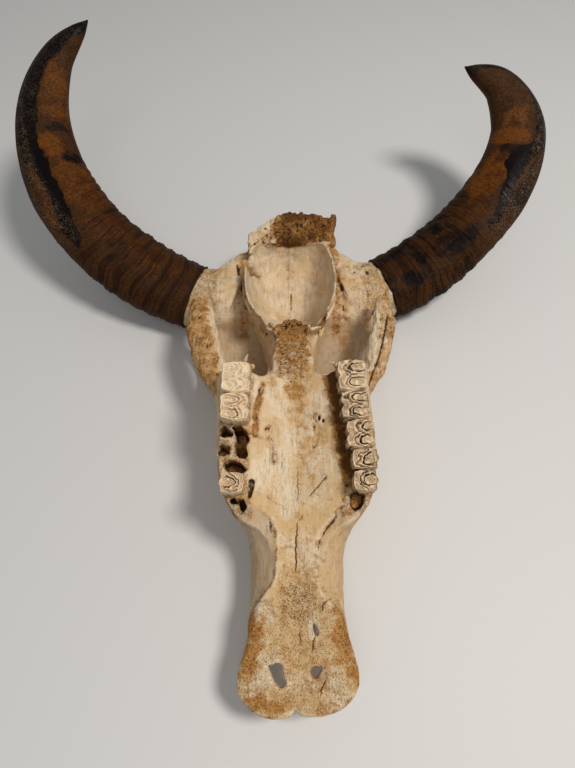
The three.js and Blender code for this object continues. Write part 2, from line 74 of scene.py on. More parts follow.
# How the skull rests: its tilt, and where the origin of its own axes lies in the frame
REST_FALL = 0.2396
REST_TILT = math.atan(REST_FALL)
REST_PLACE = np.array([3.265, -348.381, 46.637])
SKULL_TO_FRAME = (Matrix.Translation(Vector(REST_PLACE * MM))
                  @ Matrix.Rotation(REST_TILT, 4, "X") @ Matrix.Scale(MM, 4))
FRAME_TO_SKULL = SKULL_TO_FRAME.inverted()

HORNS = ["horn_left", "horn_right"]
BONES = sorted(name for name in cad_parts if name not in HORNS)


# Curves, masks and noise

def profile(*knots):
    """A smooth curve through (place, value) knots that never overshoots them"""
    places, values = np.array(knots, float).T
    rises = np.diff(values) / np.diff(places)
    slopes = np.empty_like(values)
    slopes[0] = rises[0]
    slopes[-1] = rises[-1]
    before = rises[:-1]
    after = rises[1:]
    same_way = before * after > 0
    total = np.where(same_way, before + after, 1)
    slopes[1:-1] = np.where(same_way, 2 * before * after / total, 0)

    def value_at(place):
        place = np.clip(place, places[0], places[-1])
        i = np.clip(np.searchsorted(places, place, "right") - 1, 0, len(places) - 2)
        run = places[i + 1] - places[i]
        k = (place - places[i]) / run
        start = (1 + 2 * k) * (1 - k) ** 2 * values[i] + k * (1 - k) ** 2 * run * slopes[i]
        end = k * k * (3 - 2 * k) * values[i + 1] + k * k * (k - 1) * run * slopes[i + 1]
        return start + end

    return value_at


def smoothstep(low, high, value):
    share = np.clip((value - low) / (high - low), 0, 1)
    return share * share * (3 - 2 * share)


def scatter(cell, seed):
    """A random value from 0 to 1 for each whole-number cell"""
    mixed = (cell[:, 0] * 73856093) ^ (cell[:, 1] * 19349663) ^ (cell[:, 2] * 83492791)
    mixed = (mixed ^ (seed * 2654435761)) & 0xFFFFFFFF
    mixed = ((mixed ^ (mixed >> 15)) * 2246822519) & 0xFFFFFFFF
    mixed = ((mixed ^ (mixed >> 13)) * 3266489917) & 0xFFFFFFFF
    return ((mixed ^ (mixed >> 16)) & 0xFFFF) / 65535


def noise(points, size, seed):
    """Smooth random values from -1 to 1 that change over the size given, which is one number or three"""
    scaled = points / np.asarray(size, float)
    cell = np.floor(scaled).astype(np.int64)
    part = scaled - cell
    part = part * part * part * (part * (part * 6 - 15) + 10)
    total = np.zeros(len(points))
    for corner in np.ndindex(2, 2, 2):
        corner = np.array(corner)
        weight = np.where(corner == 1, part, 1 - part).prod(axis=1)
        total += weight * scatter(cell + corner, seed)
    return total * 2 - 1


OCTAVES = 3


def rough(points, size, seed):
    """Noise with finer noise on top"""
    size = np.asarray(size, float)
    return sum(noise(points, size / 2 ** k, seed + k) / 2 ** k for k in range(OCTAVES))


def cells(points, size, seed):
    """Distance from the middle of the nearest of many scattered cells, as a share of the size"""
    scaled = points / np.asarray(size, float)
    home = np.floor(scaled).astype(np.int64)
    nearest = np.full(len(points), 9.0)
    for step in np.ndindex(3, 3, 3):
        cell = home + np.array(step) - 1
        spot = np.stack([scatter(cell, seed + axis) for axis in range(3)], axis=1)
        nearest = np.minimum(nearest, ((cell + spot - scaled) ** 2).sum(axis=1))
    return np.sqrt(nearest)


def away_from(plan, route):
    """Distance in the palate view from a line through the points of a route"""
    nearest = np.full(len(plan), 1e9)
    for start, end in zip(route[:-1], route[1:]):
        start = np.array(start, float)
        run = np.array(end, float) - start
        share = np.clip(((plan - start) @ run) / (run @ run), 0, 1)
        nearest = np.minimum(nearest, np.linalg.norm(plan - start - share[:, None] * run, axis=1))
    return nearest


def spot_on(plan, middle, radii, edge=0.5):
    """1 inside an oval in the palate view, falling to 0 outside it"""
    reach = np.hypot(*((plan - middle) / radii).T)
    return 1 - smoothstep(1 - edge, 1 + edge, reach)


def strongest(*masks):
    """The highest of several masks at each place"""
    return np.max(masks, axis=0)


# Meshes

def only(item):
    """Selects one object and makes it the active one"""
    bpy.ops.object.select_all(action="DESELECT")
    item.select_set(True)
    bpy.context.view_layer.objects.active = item


def modify(item, kind, **settings):
    """Adds a modifier and applies it"""
    only(item)
    modifier = item.modifiers.new(kind.title(), kind)
    for name, value in settings.items():
        setattr(modifier, name, value)
    bpy.ops.object.modifier_apply(modifier=modifier.name)


def link(name, mesh):
    item = bpy.data.objects.new(name, mesh)
    bpy.context.scene.collection.objects.link(item)
    return item


def drop(item):
    mesh = item.data
    bpy.data.objects.remove(item)
    bpy.data.meshes.remove(mesh)


def joined(items):
    """Several objects as one, kept in the first of them"""
    only(items[0])
    for item in items:
        item.select_set(True)
    bpy.ops.object.join()
    return items[0]


def mesh_item(name, corners, faces):
    """An object from corners in the skull's axes, its faces turned outwards"""
    mesh = bpy.data.meshes.new(name)
    mesh.from_pydata([SKULL_TO_FRAME @ Vector(corner) for corner in corners], [], faces)
    shape = bmesh.new()
    shape.from_mesh(mesh)
    bmesh.ops.recalc_face_normals(shape, faces=shape.faces)
    shape.to_mesh(mesh)
    shape.free()
    return link(name, mesh)


def values_of(items, name, kind, width=1):
    """One property of all the corners, edges or faces of a mesh, as an array"""
    values = np.empty(len(items) * width, kind)
    items.foreach_get(name, values)
    return values if width == 1 else values.reshape(-1, width)


def edge_ends(mesh):
    return values_of(mesh.edges, "vertices", np.int32, 2)


def spots_of(item):
    """The corners of an object in the skull's axes"""
    matrix = np.array(FRAME_TO_SKULL)
    corners = values_of(item.data.vertices, "co", np.float32, 3).astype(float)
    return corners @ matrix[:3, :3].T + matrix[:3, 3]


def place_spots(item, spots, in_box=False):
    """Moves the corners of an object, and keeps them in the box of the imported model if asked"""
    matrix = np.array(SKULL_TO_FRAME)
    placed = (spots @ matrix[:3, :3].T + matrix[:3, 3]).astype(np.float32)
    if in_box:
        placed = np.clip(placed, *np.array(CAD_BOX, np.float32))
    item.data.vertices.foreach_set("co", placed.ravel())
    item.data.update()


def facing_of(item):
    """The outward direction at each corner, in the skull's axes"""
    turn = np.array(Matrix.Rotation(-REST_TILT, 3, "X"))
    return values_of(item.data.vertex_normals, "vector", np.float32, 3).astype(float) @ turn.T


def set_mask(item, name, values):
    attribute = item.data.attributes.get(name) or item.data.attributes.new(name, "FLOAT", "POINT")
    attribute.data.foreach_set("value", np.clip(values, 0, 1).astype(np.float32))


def mask_of(item, name):
    return values_of(item.data.attributes[name].data, "value", np.float32)


def neighbour_sum(values, ends):
    """At each corner, the sum of the values at the other ends of its edges"""
    size = len(values)
    return (np.bincount(ends[:, 0], values[ends[:, 1]], size)
            + np.bincount(ends[:, 1], values[ends[:, 0]], size))


def smoothed(values, ends, rounds):
    """Values evened out along the edges of a mesh"""
    count = np.maximum(np.bincount(ends.ravel(), minlength=len(values)), 1)
    for _ in range(rounds):
        total = np.stack([neighbour_sum(column, ends) for column in values.T])
        values = 0.5 * values + 0.5 * (total / count).T
    return values


def tube_faces(rings, sides):
    """Faces of a row of rings, with its ends closed by fans round two last corners"""
    faces = []
    for i in range(rings - 1):
        for k in range(sides):
            following = (k + 1) % sides
            faces.append((i * sides + k, i * sides + following,
                          (i + 1) * sides + following, (i + 1) * sides + k))
    first = rings * sides
    last_ring = (rings - 1) * sides
    for k in range(sides):
        following = (k + 1) % sides
        faces.append((following, k, first))
        faces.append((last_ring + k, last_ring + following, first + 1))
    return faces


def loft(name, rings):
    """An object through a stack of rings, an array of rings by sides by 3"""
    count, sides = rings.shape[:2]
    corners = np.concatenate([rings.reshape(-1, 3), rings[:1].mean(axis=1), rings[-1:].mean(axis=1)])
    return mesh_item(name, corners, tube_faces(count, sides))


LUMP_SIDES = 16
LUMP_RINGS = 9
LUMP_CAP = 0.12


def lump(name, centre, radii):
    """A closed egg shape"""
    turn = np.linspace(0, 2 * np.pi, LUMP_SIDES, endpoint=False)
    rings = []
    for tilt in np.linspace(LUMP_CAP, np.pi - LUMP_CAP, LUMP_RINGS):
        ring = np.stack([np.sin(tilt) * np.sin(turn), np.sin(tilt) * np.cos(turn),
                         np.full(LUMP_SIDES, np.cos(tilt))], axis=1)
        rings.append(np.array(centre) + ring * np.array(radii))
    return loft(name, np.array(rings))


def cut_by(item, tool):
    modify(item, "BOOLEAN", operation="DIFFERENCE", solver="MANIFOLD", object=tool)
    drop(tool)


def finish_piece(item, nodes, material):
    """The finish of a piece, and the frame nodes that it stands for"""
    item.data.materials.clear()
    item.data.materials.append(material)
    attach(item, "root")
    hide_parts(*nodes)


# Bones

midline = profile((0, -3.4), (30, -1), (60, 0), (120, 1.8), (190, 2.2), (260, 0.4), (300, 0), (520, 0))


def copied_bone(name):
    """A welded copy of a frame node"""
    item = link(name + "_copy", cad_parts[name].data.copy())
    only(item)
    bpy.ops.object.mode_set(mode="EDIT")
    bpy.ops.mesh.select_all(action="SELECT")
    bpy.ops.mesh.remove_doubles(threshold=WELD)
    bpy.ops.object.mode_set(mode="OBJECT")
    return item


def block(name, outline, view, start, end):
    """A closed block whose outline is drawn in the side or the palate view"""
    def corner(a, b, depth):
        return (depth, a, b) if view == "side" else (a, b, depth)

    count = len(outline)
    corners = [corner(a, b, depth) for depth in (start, end) for a, b in outline]
    faces = [tuple(range(count)), tuple(range(2 * count - 1, count - 1, -1))]
    faces += [(k, (k + 1) % count, count + (k + 1) % count, count + k) for k in range(count)]
    return mesh_item(name, corners, faces)


# The jaws are cut level here, and the teeth are pieces of their own
CROWN_CUT = 5.4
CROWN_TOP = 60
CROWN_OUTLINE = [(30, 146), (84, 146), (84, 296), (30, 296)]


def without_crowns(item, hand):
    outline = [(hand * x, s) for x, s in CROWN_OUTLINE]
    cut_by(item, block("crowns", outline, "palate", CROWN_CUT, CROWN_TOP))


def ragged(outline, step, amount, seed):
    """The outline in short steps, each corner shaken, like the edge of broken bone"""
    rng = np.random.default_rng(seed)
    points = []
    for start, end in zip(outline, outline[1:] + outline[:1]):
        count = max(1, round(math.dist(start, end) / step))
        for k in range(count):
            points.append(tuple(a + (b - a) * k / count + rng.uniform(-amount, amount)
                                for a, b in zip(start, end)))
    return points


# The bowl of the braincase: half width and floor at each share of its length, from front to back
BRAIN_START = 351
BRAIN_END = 479
BRAIN_RINGS = 26
BRAIN_SIDES = 40
BRAIN_ROUNDING = 0.85
SAW_START = 290
SAW_HEIGHT = -6
SAW_FALL = 0.41
SAW_TO_WIDEST = 3
ABOVE_SAW = 30
brain_width = profile((0, 17), (0.05, 26), (0.14, 36), (0.26, 43), (0.4, 47.5), (0.6, 49.5), (0.85, 45.5),
                      (0.95, 41), (1, 34))
brain_floor = profile((0, -66), (0.05, -82), (0.15, -104), (0.3, -121), (0.5, -130), (0.7, -131),
                      (0.86, -124), (0.95, -112), (1, -98))


def saw_level(place):
    return SAW_HEIGHT - SAW_FALL * (place - SAW_START)


def brain_block(wall):
    """The hollow of the braincase grown by a wall, reaching up past the saw cut"""
    angle = np.linspace(0, 2 * np.pi, BRAIN_SIDES, endpoint=False)
    rings = []
    for share in np.linspace(0, 1, BRAIN_RINGS):
        place = BRAIN_START - wall + share * (BRAIN_END - BRAIN_START + 2 * wall)
        level = saw_level(place) - SAW_TO_WIDEST
        wide = brain_width(share) + wall
        deep = level - brain_floor(share) + wall
        x = wide * np.sign(np.sin(angle)) * np.abs(np.sin(angle)) ** BRAIN_ROUNDING
        z = level + np.where(np.cos(angle) > 0, ABOVE_SAW, deep) * np.cos(angle)
        rings.append(np.stack([x, np.full(BRAIN_SIDES, place), z], axis=1))
    return loft("brain", np.array(rings))


RIM_OUTSIDE = 8
RIM_WALL = 1.9
RIM_DEPTH = 9


def rim_trim():
    """What is taken off the outside of the bowl, to leave a thin broken rim"""
    tool = brain_block(RIM_OUTSIDE)
    cut_by(tool, brain_block(RIM_WALL))
    front, back = [saw_level(place) - RIM_DEPTH for place in (250, 620)]
    below = [(250, front), (620, back), (620, -300), (250, -300)]
    cut_by(tool, block("below", below, "side", -FAR, FAR))
    kept = [(-17, 300), (19, 300), (19, 356), (-17, 356)]
    cut_by(tool, block("kept", kept, "palate", -FAR, FAR))
    behind = [(466, 40), (600, 40), (600, -300), (466, -300)]
    cut_by(tool, block("behind", behind, "side", -FAR, FAR))
    return tool


# Broken places: the view they are drawn in, outline, reach from and to, and size of the jags
BREAKS = [
    ("palate", [(-26, 41.5), (-22.4, 38.5), (-18.8, 41), (-15.8, 37.1), (-12, 28.4), (-10.5, 24),
                (-15, 20.5), (-19.8, 26), (-23, 32), (-25.9, 37)], -30, 12, 0.5),
    ("palate", [(8.8, 33.4), (11.2, 37), (14.7, 36), (18, 38.3), (19.4, 36), (16.4, 30.9), (13, 26.6),
                (10, 30)], -30, 12, 0.5),
    ("palate", [(11.6, 70.6), (13.8, 69), (17, 63.3), (15.8, 58.6), (12.7, 59.6), (11.3, 65)], -30, 12, 0.3),
    ("side", [(463, -66), (461, -82), (466, -90), (455, -96), (451, -110), (447, -121), (445, -104),
              (438, -96), (442, -84), (437, -74), (441, -62)], -62, -30, 0.9),
    ("palate", [(-46, 369), (-40, 374), (-37, 364), (-31, 363), (-24, 357), (-26, 350), (-33, 353),
                (-38, 351), (-44, 357)], -78, -30, 1.2),
    ("palate", [(16, 356), (21, 360), (27, 359), (31, 364), (37, 371), (39, 367), (33, 357), (26, 351),
                (19, 349)], -84, -24, 0.9),
    ("palate", [(-18.6, 354), (-15, 362), (-12, 353), (-8, 359), (-4, 352), (-4, 344), (-19, 345)],
     -36, -20, 0.8),
    ("palate", [(-57, 234.5), (-48, 236), (-43, 231), (-41.5, 222), (-45, 217), (-41, 210), (-46, 205.5),
                (-52.5, 208), (-54, 216), (-51.5, 223), (-54, 229)], -22, 12, 0.8),
    ("palate", [(-69, 231), (-63, 235.5), (-58, 233), (-57.5, 227.5), (-62, 225), (-68, 227)], -18, 12, 0.6),
    ("palate", [(-70, 216), (-66, 219), (-60, 215), (-58, 209), (-63, 207), (-69, 210)], -16, 12, 0.6),
    ("palate", [(-64, 203), (-56, 205), (-47, 202), (-43, 196), (-47, 190.5), (-55, 192.5), (-62, 196)],
     -18, 12, 0.8),
    ("palate", [(-57, 171.5), (-53, 172.5), (-51, 167.5), (-54, 165), (-57.5, 167)], -12, 12, 0.4),
    ("palate", [(-50, 170.5), (-45, 170), (-42.5, 162.5), (-45, 158.5), (-49, 161)], -14, 12, 0.5),
    ("palate", [(48, 174), (55, 176), (61, 172), (58, 163), (51, 158), (46, 163)], -8, 12, 0.6),
    ("palate", [(-41, 189), (-35.5, 187.5), (-37.5, 176), (-40, 169.5), (-42, 171)], -5, 12, 0.4),
    ("palate", [(22.5, 249), (24.5, 246), (23.5, 238), (21.5, 242)], -14, 12, 0.2),
    ("palate", [(27, 247), (28.5, 244), (27.2, 236), (25.6, 241)], -13, 12, 0.2),
]
JAG_STEP = 2.4


def breaks():
    for i, (view, outline, start, end, jag) in enumerate(BREAKS):
        yield block("break", ragged(outline, JAG_STEP, jag, i + 1), view, start, end)


NAPE_LIP = [(478.5, -84.5), (492, -77), (492, -97), (480.5, -97)]
# A splinter beside the left arch: the middle and radius of each ring
SPLINTER = [(-48, 292, 0, 3.4), (-45.5, 296, 5, 2.2), (-43, 299.5, 10, 1.3), (-41, 302, 14, 0.5)]
SPLINTER_SIDES = 10


def grown_forms():
    """Forms that the solids leave out: the torn nape, lumps behind the teeth, spongy bone and a splinter"""
    rng = np.random.default_rng(5)
    forms = [block("lip", NAPE_LIP, "side", -36, 42)]
    for k in range(11):
        centre = (37 + 2.7 * k, 292 + rng.uniform(-1.5, 3), rng.uniform(-2, 5))
        forms.append(lump("bone lump", centre, rng.uniform(1.8, 3.6, 3)))
    for k in range(7):
        centre = (-38 - 3.2 * k, 291.5 + rng.uniform(-1, 2), rng.uniform(-3, 2))
        forms.append(lump("bone lump", centre, rng.uniform(2.2, 3.8, 3)))
    for _ in range(26):
        angle = rng.uniform(0, math.pi)
        centre = (17 * math.cos(angle), 338 + 15 * math.sin(angle), -26 - 6 * math.sin(angle))
        forms.append(lump("spongy bone", centre, rng.uniform(1.6, 3.4, 3)))
    turn = np.linspace(0, 2 * np.pi, SPLINTER_SIDES, endpoint=False)
    rings = [[(x + r * math.cos(angle), s + r * math.sin(angle), t) for angle in turn]
             for x, s, t, r in SPLINTER]
    forms.append(loft("splinter", np.array(rings)))
    return forms


BONE_GROWTH = 0.26


def fused_bones(voxel, smoothing):
    """All the bones, grown until they meet, as one even surface with broken places"""
    copies = []
    for name in BONES:
        item = copied_bone(name)
        if name.startswith("maxilla"):
            without_crowns(item, SIDES[name.split("_")[1]])
        modify(item, "DISPLACE", mid_level=0, strength=BONE_GROWTH * MM)
        copies.append(item)
    body = joined(copies)
    body.name = "bones"
    modify(body, "REMESH", mode="VOXEL", voxel_size=voxel * MM)
    modify(body, "SMOOTH", factor=0.5, iterations=smoothing)
    cut_by(body, rim_trim())
    cut_by(body, joined(list(breaks())))
    body = joined([body, *grown_forms()])
    modify(body, "REMESH", mode="VOXEL", voxel_size=voxel * MM)
    modify(body, "SMOOTH", factor=0.5, iterations=3)
    return body


# Where the bones meet, as outlines in the side view and the palate view
SUTURES = {
    "premaxilla": ("side", [(-20, 40), (101, 40), (96, -14), (126, -44), (152, -66), (148, -100),
                            (-20, -100)]),
    "lacrimal": ("side", [(262, -64), (283, -60), (302, -77), (330, -77), (330, -98), (296, -98),
                          (268, -88)]),
    "zygomatic": ("side", [(257, 40), (257, -30), (284, -59), (303, -76), (345, -76), (362, -84),
                           (430, -84), (430, 40)]),
    "palatine": ("palate", [(-32, 246), (-22, 236), (0, 230), (22, 236), (32, 246), (34, 330), (-34, 330)]),
    "frontal": ("side", [(266, -90), (296, -99), (316, -99), (316, 70), (472, 70), (478, -100), (472, -130),
                         (462, -220), (258, -220), (258, -100)]),
    "occipital": ("side", [(472, 80), (478, -100), (472, -130), (462, -230), (600, -230), (600, 80)]),
}
BESIDE_TEETH = 67.5
BESIDE_NOSE = 42


def hull_block(names, growth):
    """A closed block round some frame nodes, its corners moved by a growth function"""
    shape = bmesh.new()
    for name in names:
        shape.from_mesh(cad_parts[name].data)
    found = bmesh.ops.convex_hull(shape, input=shape.verts, use_existing_faces=False)
    loose = {item for item in found["geom_interior"] + found["geom_unused"]
             if isinstance(item, bmesh.types.BMVert)}
    bmesh.ops.delete(shape, geom=list(loose), context="VERTS")
    hull = {item for item in found["geom"] if isinstance(item, bmesh.types.BMFace)}
    old = [face for face in shape.faces if face not in hull]
    bmesh.ops.delete(shape, geom=old, context="FACES")
    bmesh.ops.remove_doubles(shape, verts=shape.verts, dist=WELD)
    bmesh.ops.recalc_face_normals(shape, faces=shape.faces)
    mesh = bpy.data.meshes.new("hull")
    shape.to_mesh(mesh)
    shape.free()
    item = link("hull", mesh)
    place_spots(item, growth(spots_of(item)))
    return item


def split(piece, rest, tool):
    """Leaves a piece what lies inside a tool and the rest what lies outside, and marks the cut faces"""
    for item, operation in ((piece, "INTERSECT"), (rest, "DIFFERENCE")):
        modify(item, "BOOLEAN", operation=operation, solver="MANIFOLD", object=tool,
               material_mode="TRANSFER")
    drop(tool)


def taken(body, tool, name):
    """Parts the stretch of the body inside a tool from the rest of it"""
    piece = link(f"bone_{name}", body.data.copy())
    split(piece, body, tool)
    return piece


def half_block(hand):
    """One half of the room, its inner face waved like the suture between the two sides"""
    places = np.arange(-20.0, 561.0, 5.0)
    middle = midline(places) + 0.35 * np.sin(places * 1.7) + 0.3 * np.sin(places * 0.61)
    return block("half", [*zip(middle, places), (hand * FAR, 560), (hand * FAR, -20)], "palate", -FAR, FAR)


def halved(item, name):
    """The left and right halves of a piece that crosses the midline"""
    left = taken(item, half_block(SIDES["left"]), f"{name}_left")
    item.name = f"bone_{name}_right"
    return [left, item]


def suture_block(name, start=-FAR, end=FAR):
    view, outline = SUTURES[name]
    return block(name, outline, view, start, end)


def parted(body):
    """The fused body as sixteen bones"""
    def outwards(room, up):
        def move(spots):
            middle = spots.mean(axis=0)
            way = spots - middle
            way /= np.linalg.norm(way, axis=1)[:, None]
            moved = spots + way * room
            moved[:, 2] += np.where(spots[:, 2] > middle[2], up, 0)
            return moved
        return move

    def below(spots):
        moved = spots.copy()
        moved[:, 2] -= np.where(spots[:, 2] < np.median(spots[:, 2]), 6, 0)
        return moved

    pieces = [taken(body, hull_block(["braincase"], outwards(0.5, 40)), "braincase")]
    pieces.append(taken(body, hull_block(["sphenoid"], outwards(0.2, 12)), "sphenoid"))
    nasals = taken(body, hull_block(["nasal_left", "nasal_right"], below), "nasals")
    pieces += halved(nasals, "nasal")
    for side, hand in SIDES.items():
        for name, inner in (("zygomatic", BESIDE_TEETH), ("lacrimal", BESIDE_NOSE)):
            reach = (inner, FAR) if hand > 0 else (-FAR, -inner)
            pieces.append(taken(body, suture_block(name, *reach), f"{name}_{side}"))
    pieces.append(taken(body, suture_block("occipital"), "occipital"))
    pieces.append(taken(body, suture_block("frontal"), "frontal"))
    pieces += halved(taken(body, suture_block("palatine", -34, 60), "palatines"), "palatine")
    pieces += halved(taken(body, suture_block("premaxilla"), "premaxillae"), "premaxilla")
    pieces += halved(body, "maxilla")
    return pieces


LEAST_CORNERS = 400


def without_scraps(item):
    """Drops the small loose bits that parting leaves"""
    mesh = item.data
    ends = edge_ends(mesh)
    group = np.arange(len(mesh.vertices))
    while True:
        lowest = np.minimum(group[ends[:, 0]], group[ends[:, 1]])
        before = group.copy()
        np.minimum.at(group, ends[:, 0], lowest)
        np.minimum.at(group, ends[:, 1], lowest)
        group = group[group]
        if (group == before).all():
            break
    counts = np.bincount(group, minlength=len(group))
    stray = counts[group] < LEAST_CORNERS
    if not stray.any():
        return
    shape = bmesh.new()
    shape.from_mesh(mesh)
    shape.verts.ensure_lookup_table()
    scraps = [shape.verts[int(i)] for i in np.flatnonzero(stray)]
    bmesh.ops.delete(shape, geom=scraps, context="VERTS")
    shape.to_mesh(mesh)
    shape.free()


def sharpen_seams(item):
    """Smooth shading, but a crisp edge where a bone was parted from the next"""
    mesh = item.data
    mesh.shade_smooth()
    kinds = values_of(mesh.polygons, "material_index", np.int32)
    if len(mesh.materials) < 2 or not kinds.any():
        return
    edge_of = values_of(mesh.loops, "edge_index", np.int32)
    sizes = values_of(mesh.polygons, "loop_total", np.int32)
    face_kind = np.repeat(np.minimum(kinds, 1), sizes)
    seam_faces = np.bincount(edge_of, weights=face_kind, minlength=len(mesh.edges))
    all_faces = np.bincount(edge_of, minlength=len(mesh.edges))
    sharp = (seam_faces > 0) & (seam_faces < all_faces)
    attribute = mesh.attributes.get("sharp_edge") or mesh.attributes.new("sharp_edge", "BOOLEAN", "EDGE")
    attribute.data.foreach_set("value", sharp)
    mesh.polygons.foreach_set("material_index", np.zeros(len(kinds), np.int32))


# The zygomatic arches: how far out and how deep they run
bar_across = profile((246, 60), (276, 67), (304, 83), (334, 91.5), (360, 97), (380, 99), (394, 100.5))
bar_height = profile((246, -24), (276, -34), (304, -41), (334, -46), (360, -54), (394, -64))

# Lines in the palate view: how far from the midline each runs, at places from front to back
CREASES = {
    "left": profile((76, 38), (88, 29), (107, 18.6), (127, 17), (140, 18.5), (153, 22), (163, 33),
                    (172, 42)),
    "right": profile((76, 34), (91, 20), (107, 14), (127, 12.4), (140, 17), (153, 27), (163, 36),
                     (172, 42)),
}
TOOTH_LINE = ([160, 182, 248, 290], [52, 57, 53, 51])
GUTTER_EDGE = ([184, 196, 221, 240, 262, 283], [45, 42, 38.5, 36.5, 34, 30.5])
GUTTER_BED = ([184, 283], [45, 30.5])

# Grooves of the palate: route, width, depth, and how brown they are
PALATE_GROOVES = [
    ([(-28, 276), (-32, 262), (-34.5, 249), (-35, 228)], 2.6, 1.6, 1.0),
    ([(-24.5, 233), (-20.5, 222), (-17, 205)], 3.0, 1.5, 0.45),
    ([(19, 248), (20, 235), (18, 218)], 3.0, 1.5, 0.5),
    ([(32, 283), (35.5, 262), (38, 240), (40, 221), (43, 196), (45.5, 184)], 4.2, 0.8, 1.0),
    ([(28, 189.5), (20, 181), (12.5, 173.5)], 0.9, 0.7, 0.5),
    ([(-16, 166), (-24, 172)], 1.0, 0.6, 0.5),
    ([(33, 158), (40, 163), (47, 166)], 1.2, 0.9, 0.7),
]
BAR_CRACK = [(102, 366), (95, 340), (88, 316), (80, 297), (73, 279)]

# Colour marks on the bones, painted shade and painted light among them, and its rounder stains: middle,
# radii and strength
MARKS = ("stain", "brown", "dark", "porous", "pale", "grey")
STAINS = [
    ((-36, 66), (10, 14), 1.0), ((-42, 42), (9, 17), 0.85), ((37, 59), (11, 20), 1.0),
    ((45, 32), (7, 15), 0.8), ((-30, 10), (20, 7), 0.85), ((26, 8), (18, 5), 0.6),
    ((1, 271), (11, 11), 0.7), ((3, 252), (9, 14), 0.4), ((-8, 36), (5, 16), 0.35),
    ((10, 22), (6, 10), 0.4), ((16, 30), (8, 16), 0.45), ((2, 288), (17, 9), 0.55),
    ((2, 362), (9, 15), 0.75), ((-18, 278), (7, 10), 0.4), ((24, 300), (8, 16), 0.4),
    ((12, 205), (14, 40), 0.3), ((84, 400), (16, 34), 0.3), ((62, 372), (10, 26), 0.4),
    ((70, 440), (24, 16), 0.25), ((14, 240), (10, 18), 0.35),
]


def bone_regions(spots, facing):
    """Where on the skull each corner lies, as shares from 0 to 1"""
    x, s, t = spots.T
    side = np.abs(x)
    up = smoothstep(0.1, 0.5, facing[:, 2])
    middle = midline(s)
    level = saw_level(s)
    shaken = noise(spots, 6, 61) + 0.6 * noise(spots, 2.5, 62)

    share = np.clip((s - BRAIN_START) / (BRAIN_END - BRAIN_START), 0, 1)
    widest = level - SAW_TO_WIDEST
    sine = np.clip(side / brain_width(share), 0, 3) ** (1 / BRAIN_ROUNDING)
    cosine = np.maximum((widest - t) / (widest - brain_floor(share)), 0)
    reach = np.hypot(sine, cosine) + np.maximum(0, BRAIN_START - s) / 20 + np.maximum(0, s - BRAIN_END) / 20
    bowl = smoothstep(1.07, 1.03, reach) * smoothstep(2, -1, t - level - 2) * smoothstep(481.5, 479, s)
    near_rim = smoothstep(9, 2, level - t) * smoothstep(1.25, 1.12, reach) * smoothstep(340, 350, s)
    beside_bowl = (up * smoothstep(63, 55, side) * smoothstep(45, 50, side) * smoothstep(350, 375, s)
                   * (1 - bowl))

    dip = 5 * np.exp(-(x / 8) ** 2)
    nape = smoothstep(477, 480, s + dip + 1.5 * shaken) * smoothstep(-100, -92, t)
    column = (smoothstep(23, 13, side + 3 * shaken) * smoothstep(268, 296, s + 5 * shaken)
              * smoothstep(362, 352, s + 4 * shaken) * smoothstep(-58, -38, t))
    fossa = smoothstep(-97, -102, t) * smoothstep(296, 310, s) * smoothstep(386, 378, s) * up
    brow = up * smoothstep(376, 384, s) * smoothstep(46, 54, side) * smoothstep(-84, -88, t)
    collar = up * smoothstep(78, 88, side) * smoothstep(386, 396, s)

    past_bar = side - bar_across(s)
    bar = (smoothstep(19, 15, np.abs(past_bar)) * smoothstep(262, 280, s) * smoothstep(398, 394, s)
           * smoothstep(20, 15, np.abs(t - bar_height(s))))
    bar_outer = bar * smoothstep(-2, 4, past_bar + np.where(x < 0, 8, 4) + 2 * shaken)

    off_row = np.abs(side - np.interp(s, *TOOTH_LINE))
    row = (smoothstep(17, 13, off_row) * smoothstep(150, 157, s) * smoothstep(298, 291, s)
           * smoothstep(-9, -3, t))
    socket = (smoothstep(15, 12, off_row) * smoothstep(152, 157, s) * smoothstep(242, 236, s)
              * smoothstep(1, -6, t) * smoothstep(-34, -28, t))

    front = smoothstep(98, 84, s) * up
    strip = up * smoothstep(20, 12, np.abs(x - middle)) * smoothstep(60, 75, s) * smoothstep(152, 140, s)
    palate = up * smoothstep(128, 188, s + 8 * shaken) * smoothstep(292, 284, s) * smoothstep(45, 38, side)
    past_edge = x - np.interp(s, *GUTTER_EDGE)
    gutter = (up * smoothstep(-4, 2.5, past_edge + 1.6 * shaken) * smoothstep(62, 56, x)
              * smoothstep(170, 192, s + 4 * shaken) * smoothstep(296, 286, s) * smoothstep(8, 2, t - 6))
    return SimpleNamespace(
        up=up, middle=middle, level=level, shaken=shaken, past_bar=past_bar, bowl=bowl, near_rim=near_rim,
        beside_bowl=beside_bowl, nape=nape, column=column, fossa=fossa, brow=brow, collar=collar, bar=bar,
        bar_outer=bar_outer, row=row, socket=socket, front=front, strip=strip, palate=palate, gutter=gutter)


def past_crease(spots, up):
    """How far a corner of the muzzle lies outside the crease between its top and its side"""
    x, s, _ = spots.T
    middle = midline(s)
    edge = np.where(x < middle, CREASES["left"](s), CREASES["right"](s))
    fade = smoothstep(76, 88, s) * smoothstep(168, 150, s)
    return np.abs(x - middle) - edge, fade * up


